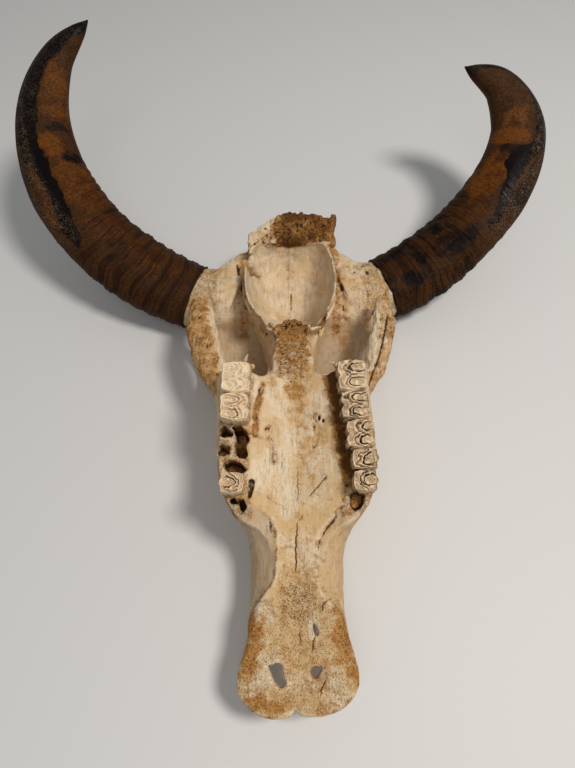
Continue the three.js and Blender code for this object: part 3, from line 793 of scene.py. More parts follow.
def bone_relief(spots, area):
    """How far the surface is raised, and the fine forms in it that are coloured too"""
    x, s, _ = spots.T
    plan = spots[:, :2]
    fine = noise(spots, 5, 9)
    spongy = cells(spots, 3.6, 21) - 0.55
    fibres = noise(spots, (2.2, 34, 5), 31) + 0.6 * noise(spots, (1.6, 12, 3), 32)
    raised = 0.6 * rough(spots, 22, 3) + 0.16 * fine + 0.12 * fibres
    raised *= 1 - 0.6 * np.maximum(area.bowl, area.fossa)
    rough_places = strongest(area.nape, area.column, 0.55 * area.row, 0.35 * area.collar, 0.3 * area.strip,
                             0.25 * area.front)
    raised += rough_places * (2.1 * spongy + 0.7 * noise(spots, 9, 12))
    raised += area.bar * (0.75 * fibres + 0.5 * noise(spots, (3, 9, 3), 14))
    raised += area.row * 0.7 * noise(spots, 4, 15)
    brow_folds = 0.5 * noise(spots, (5, 26, 5), 16) + 0.7 * noise(spots, 9, 17)
    raised += area.brow * np.where(x > 0, 2.5, 1.2) * brow_folds

    ripple = noise(spots, (10, 7, 10), 18)
    veins = np.clip(1 - np.abs(noise(spots, (9, 16, 9), 19)) * 5, 0, 1)
    raised += area.bowl * (0.5 * ripple - 0.35 * veins)
    ridge = np.exp(-((x - 0.6 - 0.8 * np.sin(s / 9)) / 1.7) ** 2)
    raised += area.bowl * ridge * smoothstep(362, 380, s) * 1.5
    slit = np.exp(-((x - 1.4) / 0.9) ** 2) * smoothstep(405, 412, s) * smoothstep(438, 430, s)
    raised -= area.bowl * slit * 1.8

    grooves = np.zeros(len(s))
    for route, width, depth, brownness in PALATE_GROOVES:
        away = away_from(plan, route) + 0.5 * fine * min(width, 2)
        raised -= depth * smoothstep(width * 1.4, width * 0.3, away) * area.up
        spread = smoothstep(width * 2.1, width * 0.3, away + 0.8 * area.shaken) * area.up
        grooves = np.maximum(grooves, spread * brownness)
    beyond, fade = past_crease(spots, area.up)
    beyond = beyond + 0.6 * fine
    raised -= 2.6 * smoothstep(0, 3.2, beyond) * smoothstep(26, 6, beyond) * fade
    crease = np.exp(-((beyond - 0.9) / 1.2) ** 2) * fade * smoothstep(158, 142, s)
    bar_crack = smoothstep(1.5, 0.5, away_from(plan, BAR_CRACK) + 0.4 * fine) * area.bar
    raised -= 1.8 * bar_crack
    lobe_lip = smoothstep(46, 20, s) * smoothstep(9, 4, away_from(plan, [(-24, 40), (-14, 25)])) * area.up
    raised += 0.9 * lobe_lip * smoothstep(2.5, 6, away_from(plan, [(-21, 37), (-14, 25)]))
    return raised, SimpleNamespace(fibres=fibres, ripple=ripple, veins=veins, slit=slit, grooves=grooves,
                                   beyond=beyond, crease=crease, bar_crack=bar_crack)


def move_edges(moved, spots, area):
    """Breaks the rim of the bowl and the nape, and widens the left of the muzzle and the left arch"""
    x, s, t = spots.T
    rim = area.near_rim * smoothstep(4.5, 0, area.level - t)
    jags = np.clip(noise(spots, (5, 5, 40), 41) + 0.6 * noise(spots, (2.4, 2.4, 40), 42), -0.3, 1.2)
    moved[:, 2] -= rim * 2.4 * (jags + 0.3)
    left_muzzle = smoothstep(0, -30, x) * smoothstep(52, 75, s) * smoothstep(152, 128, s)
    moved[:, 0] -= 2.8 * left_muzzle
    inner = smoothstep(2, -8, area.past_bar) * smoothstep(295, 312, s) * (x < 0)
    moved[:, 0] += 5 * area.bar * inner
    torn = area.nape * smoothstep(486, 492, s)
    moved[:, 1] += torn * 2.4 * (noise(spots, 5, 43) + 0.7 * noise(spots, 2.4, 44))


def hollows(body, spots):
    """From 1 where a corner lies in a hollow to -1 where it stands out, fine and broad forms together"""
    ends = edge_ends(body.data)
    normal = facing_of(body)
    near = smoothed(spots, ends, 7)
    fine = ((near - spots) * normal).sum(axis=1)
    broad = ((smoothed(near, ends, 34) - spots) * normal).sum(axis=1)
    return np.clip(fine / 0.5, -1, 1) * 0.55 + np.clip(broad / 1.6, -1, 1) * 0.45


def bone_marks(spots, facing, area, forms, hollow):
    """How strong each of the colour marks is, in the order of MARKS; the dark, pale and grey marks also hold
    painted shade and painted light
    """
    x, s, _ = spots.T
    shaken = spots[:, :2] + np.stack([noise(spots, 8, 51), noise(spots, 8, 52)], axis=1) * 4
    blots = np.zeros(len(s))
    for centre, radii, strength in STAINS:
        blots = np.maximum(blots, strength * spot_on(shaken, centre, radii, edge=0.6) * area.up)
    left_edge = area.nape * smoothstep(-10, -26, x + 5 * area.shaken)
    rear = smoothstep(312, 346, s)
    under = smoothstep(-0.1, -0.6, facing[:, 2])
    stain = strongest(
        blots, area.nape * (1 - left_edge), area.column * (0.6 + 0.4 * rear),
        area.bar_outer * (np.where(x < 0, 0.6, 0.5) + 0.25 * forms.fibres), area.beside_bowl * 0.6,
        0.8 * forms.grooves, area.row * 0.4, area.strip * 0.2, area.gutter, 0.8 * area.socket,
        0.5 * forms.crease, area.near_rim * 0.55 * (1 - area.bowl),
        under * (0.3 + 0.35 * noise(spots, 40, 53)))
    patches = 0.5 + 0.5 * noise(spots, 13, 63)
    brown = strongest(
        area.nape * (0.4 + 0.6 * patches) * (1 - left_edge), area.column * 0.55 * rear * patches,
        1.1 * area.gutter ** 1.5, area.bar_outer * (0.2 + 0.2 * forms.fibres), 0.3 * forms.grooves,
        0.3 * area.beside_bowl, 0.45 * area.socket)
    # Painted shade: the gap along the right tooth row, darkened towards the teeth
    shade_by_teeth = area.gutter * smoothstep(3, 7, x - np.interp(s, *GUTTER_BED))
    # Dark mark: painted shade in hollows, in the muzzle creases and along the right tooth row, together with
    # real cracks, slits and soil
    dark = strongest(
        # Painted shade in hollows and in the muzzle crease, stronger on the shaded left; the cracks are real
        smoothstep(0.2, 0.85, hollow), 0.5 * forms.crease * (0.6 + 0.4 * (x < 0)), 0.9 * forms.bar_crack,
        area.bowl * forms.slit * 0.9, 0.2 * forms.grooves, area.nape * 0.08, shade_by_teeth * 0.4,
        area.beside_bowl * 0.25)
    porous = strongest(
        area.nape * (0.7 - 0.5 * left_edge), area.column, 0.9 * area.row,
        area.strip * smoothstep(128, 92, s + 7 * area.shaken), 0.75 * area.front, 0.9 * area.collar,
        0.6 * area.bar_outer, 0.5 * area.brow,
        0.4 * area.palate * smoothstep(9, 3, np.abs(x - area.middle)), 0.3 * under, 0.85 * stain)
    # Pale mark: pale bone, and painted light on the ridges where the surface stands out
    pale = strongest(
        area.bowl * (0.95 + 0.1 * forms.ripple), area.brow * 0.8 * (1 - area.collar),
        area.palate * (0.35 + 0.4 * (x < area.middle)), smoothstep(0.05, -0.5, hollow) * 0.8,
        left_edge * 0.8, area.bar * (1 - area.bar_outer) * 0.8)
    # The side of the muzzle beyond the crease; the grey mark below paints shade on it, more on the left
    muzzle_side = (smoothstep(1.5, 4, forms.beyond) * smoothstep(84, 92, s) * smoothstep(170, 160, s)
                   * (x ** 2 > 60))
    # Grey mark: grey bone in the fossae and the bowl, and painted shade on the left side of the muzzle
    grey = strongest(
        # Painted light: the left fossa is kept less grey, so lighter, than the right
        area.fossa * np.where(x < 0, 0.7, 1), muzzle_side * np.where(x < 0, 0.8, 0.3),
        area.bowl * (0.12 - 0.45 * forms.ripple + 0.35 * forms.veins))
    return stain, brown, dark, porous, pale, grey


def shape_bones(body):
    """Raises and carves the surface of the fused bones, and marks the kind of surface on it"""
    spots = spots_of(body)
    facing = facing_of(body)
    area = bone_regions(spots, facing)
    raised, forms = bone_relief(spots, area)
    moved = spots + facing * raised[:, None]
    move_edges(moved, spots, area)
    place_spots(body, moved, in_box=True)
    # The hollows feed the painted shade in recesses and the painted light on ridges
    marks = bone_marks(spots, facing, area, forms, hollows(body, moved))
    for name, values in zip(MARKS, marks):
        set_mask(body, name, values)
    set_mask(body, "known", np.ones(len(spots)))


SLIT_STEP = 2.2
SLIT_SHAKE = 0.55


def slit_outline(route, width, seed):
    """A thin zigzag slit along a route, closing at both ends"""
    rng = np.random.default_rng(seed)
    line = []
    for start, end in zip(route[:-1], route[1:]):
        count = max(1, round(math.dist(start, end) / SLIT_STEP))
        line += [np.array(start) + (np.array(end) - start) * k / count for k in range(count)]
    line = np.array([*line, route[-1]], float)
    line[1:-1] += rng.uniform(-SLIT_SHAKE, SLIT_SHAKE, (len(line) - 2, 2))
    run = np.gradient(line, axis=0)
    beside = np.stack([run[:, 1], -run[:, 0]], axis=1) / np.linalg.norm(run, axis=1)[:, None]
    half = width / 2 * np.maximum(np.sin(np.pi * np.linspace(0, 1, len(line))) ** 0.4, 0.12)
    outline = [*(line + beside * half[:, None]), *(line - beside * half[:, None])[::-1]]
    return [tuple(spot) for spot in outline]


# Slits cut into the bones from above: route, width, and how far down they reach
SLIT_TOP = 8
SLITS = [
    ([(1, 151), (0.4, 143), (-0.3, 136), (-0.9, 129), (-0.6, 120), (-1.3, 109)], 1.5, -8.5),
    ([(0.8, 151.5), (3.4, 152.5), (5.6, 157)], 1.1, -8),
    ([(19.4, 78), (20.5, 84), (24, 86.5), (28.5, 88.5)], 1.4, -4),
    ([(13.4, 60), (11.6, 53), (10, 47)], 1.4, -5.5),
    ([(20.5, 28), (18, 22), (15.5, 15)], 1.3, -5.5),
    ([(0.5, 63), (1.2, 56), (0.2, 52)], 1.1, -5),
    ([(29.5, 192), (24, 186), (17, 178.5), (12, 173)], 0.4, -10.5),
    ([(2.2, 196), (1.6, 186), (2, 176), (1.2, 168)], 0.6, -11.5),
    ([(-40, 249), (-44, 246.5), (-50, 243)], 0.9, -2),
]


def cut_slits(body):
    tools = [block("slit", slit_outline(route, width, i + 70), "palate", low, SLIT_TOP)
             for i, (route, width, low) in enumerate(SLITS)]
    cut_by(body, joined(tools))


def fill_masks(item):
    """Gives the corners made by parting the marks of their neighbours"""
    known = mask_of(item, "known") > 0.5
    if known.all():
        return
    ends = edge_ends(item.data)
    for name in MARKS:
        values = mask_of(item, name)
        have = known.copy()
        for _ in range(3):
            total = neighbour_sum(values * have, ends)
            count = neighbour_sum(have.astype(float), ends)
            fresh = ~have & (count > 0)
            values[fresh] = total[fresh] / count[fresh]
            have |= fresh
        set_mask(item, name, values)


# Horns

HORN_LINES = {
    "left": [(-104, 421, -115), (-114, 424.5, -114.5), (-140, 434.5, -109.5), (-167.6, 447.6, -103.2),
             (-214.8, 480.3, -88.4), (-253, 522.2, -71.6), (-278.3, 572.5, -53.4), (-285.4, 627.7, -33.9),
             (-268.6, 680.3, -13.4), (-227.6, 717.4, 8)],
    "right": [(104, 428.5, -115), (112.4, 431.7, -114.5), (137, 442, -111), (159.9, 454.6, -106.4),
              (201.5, 486.1, -95.9), (238.1, 523.1, -84.2), (266.4, 566.3, -71.3), (278.7, 615.9, -57.5),
              (259.4, 661.8, -43.1), (213, 679.1, -28)],
}
HORN_HALF_WIDTH = {
    "left": profile((0, 41.5), (0.1, 42), (0.2, 43), (0.32, 41), (0.45, 39.3), (0.6, 34.6), (0.75, 28.7),
                    (0.88, 19.5), (0.96, 9), (1, 0.6)),
    "right": profile((0, 40.5), (0.1, 41), (0.2, 40.8), (0.34, 38.6), (0.48, 37.6), (0.62, 34.4),
                     (0.76, 30.4), (0.88, 21.5), (0.96, 9.5), (1, 0.6)),
}
HORN_FLATNESS = profile((0, 0.74), (0.5, 0.7), (0.85, 0.78), (1, 1))
HORN_START = 0.022
HORN_RINGS = 620
HORN_SIDES = 112
HORN_UPRIGHT = np.array([0, 0.2, 1])
CURVE_SAMPLES = 60


def curve_through(knots):
    """Points of a centripetal Catmull-Rom curve through the knots, and how far along it each lies"""
    knots = np.array(knots, float)
    first = 2 * knots[0] - knots[1]
    last = 2 * knots[-1] - knots[-2]
    padded = np.concatenate([[first], knots, [last]])
    spans = np.linalg.norm(np.diff(padded, axis=0), axis=1) ** 0.5
    points = []
    for i in range(len(knots) - 1):
        before, start, end, after = padded[i:i + 4]
        a, b, c = spans[i:i + 3]
        leave = ((start - before) / a - (end - before) / (a + b) + (end - start) / b) * b
        arrive = ((end - start) / b - (after - start) / (b + c) + (after - end) / c) * b
        k = np.linspace(0, 1, CURVE_SAMPLES, endpoint=False)[:, None]
        points.append((2 * k ** 3 - 3 * k ** 2 + 1) * start + (k ** 3 - 2 * k ** 2 + k) * leave
                      + (3 * k ** 2 - 2 * k ** 3) * end + (k ** 3 - k ** 2) * arrive)
    points = np.concatenate([*points, knots[-1:]])
    along = np.concatenate([[0], np.cumsum(np.linalg.norm(np.diff(points, axis=0), axis=1))])
    return points, along


def horn_rings(side):
    """Rings of the horn, the way out of it at each corner, and how far along and round it each lies"""
    points, along = curve_through(HORN_LINES[side])
    shares = HORN_START + (1 - HORN_START) * np.linspace(0, 1, HORN_RINGS)
    at = shares * along[-1]
    centre = np.stack([np.interp(at, along, points[:, axis]) for axis in range(3)], axis=1)
    tangent = np.gradient(centre, axis=0)
    tangent /= np.linalg.norm(tangent, axis=1)[:, None]
    across = np.cross(tangent, HORN_UPRIGHT)
    across /= np.linalg.norm(across, axis=1)[:, None]
    over = np.cross(across, tangent)
    angle = np.linspace(0, 2 * np.pi, HORN_SIDES, endpoint=False)
    cosine = np.cos(angle)[None, :, None]
    sine = np.sin(angle)[None, :, None]
    half = HORN_HALF_WIDTH[side](shares)
    wide = half[:, None, None] * cosine
    tall = (half * HORN_FLATNESS(shares))[:, None, None] * sine
    across = across[:, None, :]
    over = over[:, None, :]
    rings = centre[:, None, :] + across * wide + over * tall
    outward = across * cosine + over * sine
    outer = np.tile(SIDES[side] * np.cos(angle), (HORN_RINGS, 1))
    upper = np.tile(np.sin(angle), (HORN_RINGS, 1))
    return rings, outward, shares, at, outer, upper


SWELL_LENGTH = 19
RING_LENGTH = 5.9
THREAD_LENGTH = 2.9
HORN_SEEDS = {"left": 40, "right": 60}


def horn_surface(side, at, shares, outer, upper):
    """How far the surface stands out: fine growth rings that crowd the base and fade before the middle, and
    a painted shade that darkens the ring furrows
    """
    seed = HORN_SEEDS[side]
    grid = np.stack([np.repeat(at, HORN_SIDES), 40 * outer.ravel(), 40 * upper.ravel()], axis=1)
    place = grid[:, 0] + 4.5 * noise(grid, (50, 40, 40), seed) + 1.6 * noise(grid, (12, 11, 11), seed + 1)
    share = np.repeat(shares, HORN_SIDES)
    fade = 1 - smoothstep(0.3, 0.6, share + 0.07 * outer.ravel() + 0.05 * noise(grid, 30, seed + 6))
    crowd = place * (1 + 0.1 * noise(grid, (80, 200, 200), seed + 2))
    swell = 1 + 0.8 * noise(grid, (24, 30, 30), seed + 3)
    roll = np.sin(2 * np.pi * crowd / SWELL_LENGTH)
    fold = np.abs(np.sin(np.pi * crowd / RING_LENGTH)) ** 0.7
    thread = np.sin(2 * np.pi * place / THREAD_LENGTH) * (1 + noise(grid, (9, 20, 20), seed + 4))
    ripple = fade * (0.62 * roll * swell + 0.68 * (fold - 0.6) * swell + 0.22 * thread)
    lumps = 0.5 * noise(grid, (26, 16, 16), seed + 7) * (1 - smoothstep(0.6, 0.85, share))
    grain = 0.1 * rough(grid, (60, 7, 7), seed + 5) + 0.12 * noise(grid, (30, 3, 3), seed + 8)
    # Painted shade: the furrows between the growth rings are darkened
    lined = smoothstep(0.85, 0.15, fold) * (0.78 + 0.5 * noise(grid, (7, 20, 20), seed + 9))
    furrow = fade * np.maximum(lined, 0.75 * smoothstep(0, -1.1, roll * swell))
    return (ripple + lumps + grain).reshape(outer.shape), furrow


# Bands along the horns: middle and half width of each across the horn, where 1 is the outer curve
BLACK_MIDDLE = {
    "left": profile((0.33, 0.72), (0.38, 0.6), (0.43, 0.4), (0.5, 0.28), (0.56, 0.32), (0.6, 0.44),
                    (0.64, 0.42), (0.68, 0.36), (0.76, 0.3), (0.84, 0.1), (0.9, -0.15), (1, -0.4)),
    "right": profile((0.36, 0.66), (0.42, 0.56), (0.48, 0.4), (0.53, 0.26), (0.57, 0.14), (0.62, 0.32),
                     (0.68, 0.74), (0.8, 0.74), (0.9, 0.55), (1, 0.3)),
}
BLACK_HALF = {
    "left": profile((0.33, 0), (0.345, 0.12), (0.42, 0.2), (0.5, 0.21), (0.56, 0.29), (0.6, 0.37),
                    (0.68, 0.47), (0.78, 0.48), (0.86, 0.52), (0.94, 0.6), (1, 0.9)),
    "right": profile((0.365, 0), (0.385, 0.13), (0.46, 0.18), (0.52, 0.2), (0.56, 0.34), (0.62, 0.34),
                     (0.65, 0.3), (0.8, 0.3), (0.9, 0.5), (1, 0.9)),
}

# Patches on the horns: middle and radii along and across, and strength
TAN_SPOTS = {
    "left": [((0.60, -0.26), (0.034, 0.36), 1.0), ((0.755, -0.72), (0.10, 0.5), 0.75),
             ((0.47, -0.42), (0.12, 0.6), 0.6), ((0.5, 0.72), (0.12, 0.16), 0.5),
             ((0.33, -0.1), (0.08, 0.6), 0.4), ((0.17, -0.2), (0.12, 0.6), 0.4)],
    "right": [((0.665, -0.4), (0.035, 0.65), 1.0), ((0.73, -0.35), (0.05, 0.5), 0.6),
              ((0.5, -0.4), (0.10, 0.55), 0.75), ((0.56, -0.55), (0.05, 0.3), 0.7),
              ((0.36, -0.1), (0.07, 0.5), 0.35)],
}
DARK_SPOTS = {
    "left": [((0.655, -0.6), (0.014, 0.5), 0.6), ((0.555, -0.72), (0.026, 0.34), 0.6),
             ((0.26, 0.1), (0.05, 0.3), 0.4)],
    "right": [((0.62, -0.2), (0.018, 0.5), 0.6), ((0.40, -0.55), (0.03, 0.3), 0.5),
              ((0.24, 0.2), (0.06, 0.4), 0.5)],
}
DARK_OUTSIDE = {"left": 0.42, "right": 0.56}
DARK_RINGS = {"left": 0.12, "right": 0.6}
MARK_SEEDS = {"left": 80, "right": 90}
MARK_LENGTH = 480


def horn_marks(side, shares, outer, upper):
    """Black, tan and scuffed patches, as drawn along and across the horn"""
    seed = MARK_SEEDS[side]
    along = np.repeat(shares, HORN_SIDES)
    outer = outer.ravel()
    upper = upper.ravel()
    across = outer + 0.25 * (upper < 0) * outer
    grid = np.stack([along * MARK_LENGTH, 40 * outer, 40 * upper], axis=1)
    shaken = along + 0.008 * noise(grid, 9, seed) + 0.004 * noise(grid, 3, seed + 1)
    beside = across + 0.09 * noise(grid, 14, seed + 2) + 0.05 * noise(grid, 4, seed + 3)
    plan = np.stack([shaken, beside], axis=1)
    band = BLACK_HALF[side](shaken)
    black = smoothstep(-0.05, 0.07, band - np.abs(beside - BLACK_MIDDLE[side](shaken))) * (band > 0.01)
    for centre, radii, strength in DARK_SPOTS[side]:
        black = np.maximum(black, strength * spot_on(plan, centre, radii))
    tip = smoothstep(0.9, 1.0, along) * 0.75
    beyond = smoothstep(0.35, 0.65, across) * smoothstep(0.36, 0.5, along)
    outside = (DARK_OUTSIDE[side] + 0.14 * noise(grid, (30, 8, 8), seed + 4)) * beyond
    ringed = smoothstep(0.48, 0.3, along) * (0.7 + 0.5 * noise(grid, (24, 18, 18), seed + 5))
    black = strongest(black, tip, outside, DARK_RINGS[side] * ringed)
    tan = np.zeros(len(along))
    for centre, radii, strength in TAN_SPOTS[side]:
        tan = np.maximum(tan, strength * spot_on(plan, centre, radii))
    scuffed = smoothstep(0.3, 0.6, across) * smoothstep(0.3, 0.42, along) * smoothstep(0.98, 0.85, along)
    scuffed = np.maximum(scuffed, 0.35 * smoothstep(0.55, 0.75, along))
    return dict(black=black, tan=tan, scuffed=scuffed)


def build_horn(side, material):
    rings, outward, shares, at, outer, upper = horn_rings(side)
    stand, furrow = horn_surface(side, at, shares, outer, upper)
    stand = stand * smoothstep(0, 8, HORN_HALF_WIDTH[side](shares))[:, None]
    item = loft(f"horn_sheath_{side}", rings + outward * stand[:, :, None])
    for name, values in {**horn_marks(side, shares, outer, upper), "furrow": furrow}.items():
        set_mask(item, name, np.concatenate([values, [values[0], values[-1]]]))
    item.data.shade_smooth()
    finish_piece(item, [f"horn_{side}"], material)


# Teeth

ALVEOLAR = 5
CROWN = 25
TOOTH_ROW = {
    "third_molar": dict(place=276, across=51.8, length=29, width=26.5, lobes=2),
    "second_molar": dict(place=248.5, across=53.2, length=25.5, width=26, lobes=2),
    "first_molar": dict(place=222.5, across=55.5, length=24.5, width=25.5, lobes=2),
    "fourth_premolar": dict(place=200.5, across=57.6, length=17.5, width=22.5, lobes=1),
    "third_premolar": dict(place=182, across=56.6, length=17.5, width=20.5, lobes=1),
}
DROPPED = {"left": ["first_molar", "fourth_premolar"], "right": []}
WORN = {("third_molar", "left"): 0.85, ("second_molar", "left"): 0.35, ("third_molar", "right"): 0.3}
TOOTH_SEEDS = {"left": 0, "right": 500}
TOOTH_SIDES = 160
TOP_RINGS = 46
WALL_RINGS = 34


def tooth_outline(angle, width, length, lobes, hand):
    """Half-size of the crown at each angle; angle 0 points back, and the cheek side has ribs"""
    sin = np.sin(angle)
    cos = np.cos(angle)
    square = 1 / np.maximum(np.abs(sin), np.abs(cos)) ** 0.6
    cheek = smoothstep(0.2, 0.9, sin * hand)
    tongue = smoothstep(0.2, 0.9, -sin * hand)
    reach = np.ones_like(angle)
    if lobes == 2:
        reach -= 0.2 * tongue * np.exp(-(cos * square / 0.22) ** 2)
        reach += 0.05 * cheek * np.cos(cos * square * 3 * np.pi)
        reach -= 0.07 * cheek * np.exp(-(cos * square / 0.16) ** 2)
    else:
        reach += 0.06 * cheek * np.cos(cos * square * 2 * np.pi)
    return square * reach * np.stack([sin * width / 2, cos * length / 2])


LOBE_MIDDLES = {1: (0.0,), 2: (-0.5, 0.5)}


def crown_marks(u, v, lobes, seed, wear):
    """How much of the chewing surface is enamel and how much is slit; u runs from -1 to 1 at the cheek"""
    enamel = np.zeros_like(u)
    pit = np.zeros_like(u)
    flat = np.stack([u.ravel() * 12, v.ravel() * 12, np.full(u.size, float(seed))], axis=1)
    shake = (0.2 * noise(flat, 5, seed) + 0.11 * noise(flat, 2.2, seed + 1)).reshape(u.shape)
    twist = (0.2 * noise(flat, 7, seed + 2)).reshape(u.shape)
    stretch = 1.95 if lobes == 2 else 1.08
    for middle in LOBE_MIDDLES[lobes]:
        du = u - 0.42 + twist
        dv = (v - middle) * stretch
        reach = np.hypot(du * 1.05, dv) + shake
        tongue_side = smoothstep(0.35, -0.1, du)
        bulb = np.exp(-((reach - 0.38) / 0.07) ** 2)
        slit = np.exp(-((reach - 0.54) / 0.062) ** 2) * tongue_side
        second = np.exp(-((reach - 0.72) / 0.07) ** 2) * tongue_side
        trough = np.exp(-((reach - 0.93) / 0.05) ** 2) * tongue_side * 0.5
        third = np.exp(-((reach - 1.13) / 0.08) ** 2) * tongue_side
        pit = strongest(pit, slit, trough)
        enamel = strongest(enamel, bulb, second, 0.8 * third)
    folds = np.exp(-(noise(flat, (3.4, 2.6, 3), seed + 5).reshape(u.shape) / 0.14) ** 2)
    enamel = np.maximum(enamel, 0.55 * folds)
    return enamel, pit * (1 - wear)


def tooth_top(edge, width, length, lobes, hand, seed, wear):
    """Rings of the chewing surface from its middle outwards, and its enamel and pits"""
    share = np.linspace(0.02, 1, TOP_RINGS)[:, None]
    across_at = share * edge[0]
    along_at = share * edge[1]
    u = across_at * hand / (width / 2)
    v = along_at / (length / 2)
    enamel, pit = crown_marks(u, v, lobes, seed, wear)
    enamel = np.maximum(enamel, np.exp(-((share - 0.93) / 0.04) ** 2))
    spots = np.stack([across_at.ravel(), along_at.ravel(), np.full(u.size, float(seed))], axis=1)
    lumpy = (0.6 * rough(spots, 6, seed) + 0.25 * noise(spots, 1.6, seed + 4)).reshape(u.shape)
    relief = 1 - 0.6 * wear
    height = (CROWN - 1.6 + relief * (1.7 * enamel - 4.2 * pit) + lumpy + 2.0 * relief * u * np.abs(u)
              - 2.6 * smoothstep(0.94, 1.0, share))
    if hand > 0:
        pit = pit + (0.28 + 0.25 * noise(spots, 4, seed + 10)).reshape(u.shape)
    return np.stack([across_at, along_at, height], axis=2), enamel, pit


def tooth_wall(edge, angle, hand, seed):
    """Rings of the walls down into the jaw, how dark they are, and where the neck is; the walls are darker
    in their grooves and towards the neck, and on the tongue side of the right row the darkening is painted
    shade
    """
    share = np.linspace(0.04, 1, WALL_RINGS)[:, None]
    level = (CROWN - 3.2) * (1 - share) + (ALVEOLAR - 11) * share
    waist = 1.01 - 0.12 * smoothstep(0.6, 1, share)
    rings = np.stack([edge[0] * waist, edge[1] * waist, level * np.ones_like(edge[0])], axis=2)
    spots = rings.reshape(-1, 3) + np.array([0, 0, seed * 3.0])
    grooves = 0.5 * noise(spots, (3, 3, 18), seed + 6) + 0.3 * noise(spots, (1.6, 1.6, 4), seed + 7)
    grooves = grooves.reshape(rings.shape[:2])
    outward = np.stack([np.sin(angle), np.cos(angle), np.zeros_like(angle)], axis=1)
    neck = smoothstep(0.15, 0.7, share) * np.ones_like(edge[0])
    wall_dark_and_shade = np.clip(-grooves * 0.9, 0, 1) + 0.25 * neck
    # Painted shade: the tongue side of the right row, which faces away from the light
    if hand > 0:
        wall_dark_and_shade = wall_dark_and_shade + 0.45 * smoothstep(0.1, 0.8, -np.sin(angle) * hand)
    return rings + outward * grooves[:, :, None], wall_dark_and_shade, neck


def build_tooth(name, side, place, across, length, width, lobes):
    hand = SIDES[side]
    seed = int(place) + TOOTH_SEEDS[side]
    wear = WORN.get((name, side), 0)
    angle = np.linspace(0, 2 * np.pi, TOOTH_SIDES, endpoint=False)
    around = np.stack([np.sin(angle) * 12, np.cos(angle) * 12, np.full(TOOTH_SIDES, float(seed))], axis=1)
    edge = tooth_outline(angle, width, length, lobes, hand)
    edge = edge * (1 + 0.035 * noise(around, 5, seed + 8) + 0.02 * noise(around, 2, seed + 9))
    top, enamel, pit = tooth_top(edge, width, length, lobes, hand, seed, wear)
    wall, wall_dark_and_shade, neck = tooth_wall(edge, angle, hand, seed)
    rings = np.concatenate([top, wall])
    rings[:, :, 0] += float(midline(place)) + hand * across
    rings[:, :, 1] += place
    item = loft(f"{name}_{side}", rings)
    masks = {"enamel": (enamel + 0.35 * wear, np.full_like(neck, 0.45)), "pit": (pit, wall_dark_and_shade),
             "neck": (np.zeros_like(enamel), neck)}
    for mask, (on_top, on_wall) in masks.items():
        set_mask(item, mask, np.concatenate([on_top.ravel(), on_wall.ravel(), [0, 0]]))
    item.data.shade_smooth()
    return item


def build_teeth(side, material):
    standing = [name for name in TOOTH_ROW if name not in DROPPED[side]]
    row = joined([build_tooth(name, side, **TOOTH_ROW[name]) for name in standing])
    row.name = f"teeth_{side}"
    finish_piece(row, [f"maxilla_{side}"], material)


# Materials

def new_group(name, inputs, outputs):
    """An empty shader group with named sockets; kinds are Float, Color or Vector"""
    group = bpy.data.node_groups.new(name, "ShaderNodeTree")
    for socket, (kind, default) in inputs.items():
        made = group.interface.new_socket(socket, in_out="INPUT", socket_type=f"NodeSocket{kind}")
        made.default_value = default
    for socket, kind in outputs.items():
        group.interface.new_socket(socket, in_out="OUTPUT", socket_type=f"NodeSocket{kind}")
    return group


class Nodes:
    """Adds nodes to a tree and joins them; a source is a socket or a plain value"""

    def __init__(self, tree):
        self.tree = tree

    def add(self, kind, settings=None, **inputs):
        node = self.tree.nodes.new(kind)
        for name, value in (settings or {}).items():
            setattr(node, name, value)
        for name, value in inputs.items():
            self.join(value, node.inputs[name.replace("_", " ")])
        return node

    def join(self, value, socket):
        if isinstance(value, bpy.types.NodeSocket):
            self.tree.links.new(value, socket)
        else:
            socket.default_value = value

    def math(self, operation, a, b=0.0):
        node = self.add("ShaderNodeMath", {"operation": operation})
        self.join(a, node.inputs[0])
        self.join(b, node.inputs[1])
        return node.outputs[0]

    def plus(self, a, b):
        return self.math("ADD", a, b)

    def minus(self, a, b):
        return self.math("SUBTRACT", a, b)

    def times(self, a, b):
        return self.math("MULTIPLY", a, b)

    def swing(self, value, amount):
        """A noise value turned into one that swings round 0"""
        return self.times(self.minus(value, 0.5), amount)

    def mix(self, share, a, b, blend="MIX"):
        """One colour over another; a colour is a socket or its red, green and blue"""
        node = self.add("ShaderNodeMix", {"data_type": "RGBA", "blend_type": blend})
        self.join(share, node.inputs[0])
        for colour, socket in ((a, node.inputs[6]), (b, node.inputs[7])):
            self.join(colour if isinstance(colour, bpy.types.NodeSocket) else (*colour, 1), socket)
        return node.outputs[2]

    def steps(self, value, low, high, start=0.0, end=1.0):
        """A value eased from the start to the end while its source goes from low to high"""
        node = self.add("ShaderNodeMapRange", {"interpolation_type": "SMOOTHSTEP"}, Value=value,
                        From_Min=low, From_Max=high, To_Min=start, To_Max=end)
        return node.outputs[0]

    def noise(self, place, scale, detail, roughness=0.55):
        node = self.add("ShaderNodeTexNoise", Vector=place, Scale=scale, Detail=detail, Roughness=roughness)
        return node.outputs[0]

    def attribute(self, name):
        return self.add("ShaderNodeAttribute", {"attribute_name": name}).outputs["Fac"]

    def bump(self, shader, height, strength, distance):
        node = self.add("ShaderNodeBump", Height=height, Strength=strength, Distance=distance)
        self.join(node.outputs[0], shader.inputs["Normal"])


def new_material(name):
    """A material, the nodes of its tree, its shader, and the place on the object in metres"""
    material = bpy.data.materials.new(name)
    material.use_nodes = True
    n = Nodes(material.node_tree)
    shader = material.node_tree.nodes["Principled BSDF"]
    place = n.add("ShaderNodeTexCoord").outputs["Object"]
    return material, n, shader, place


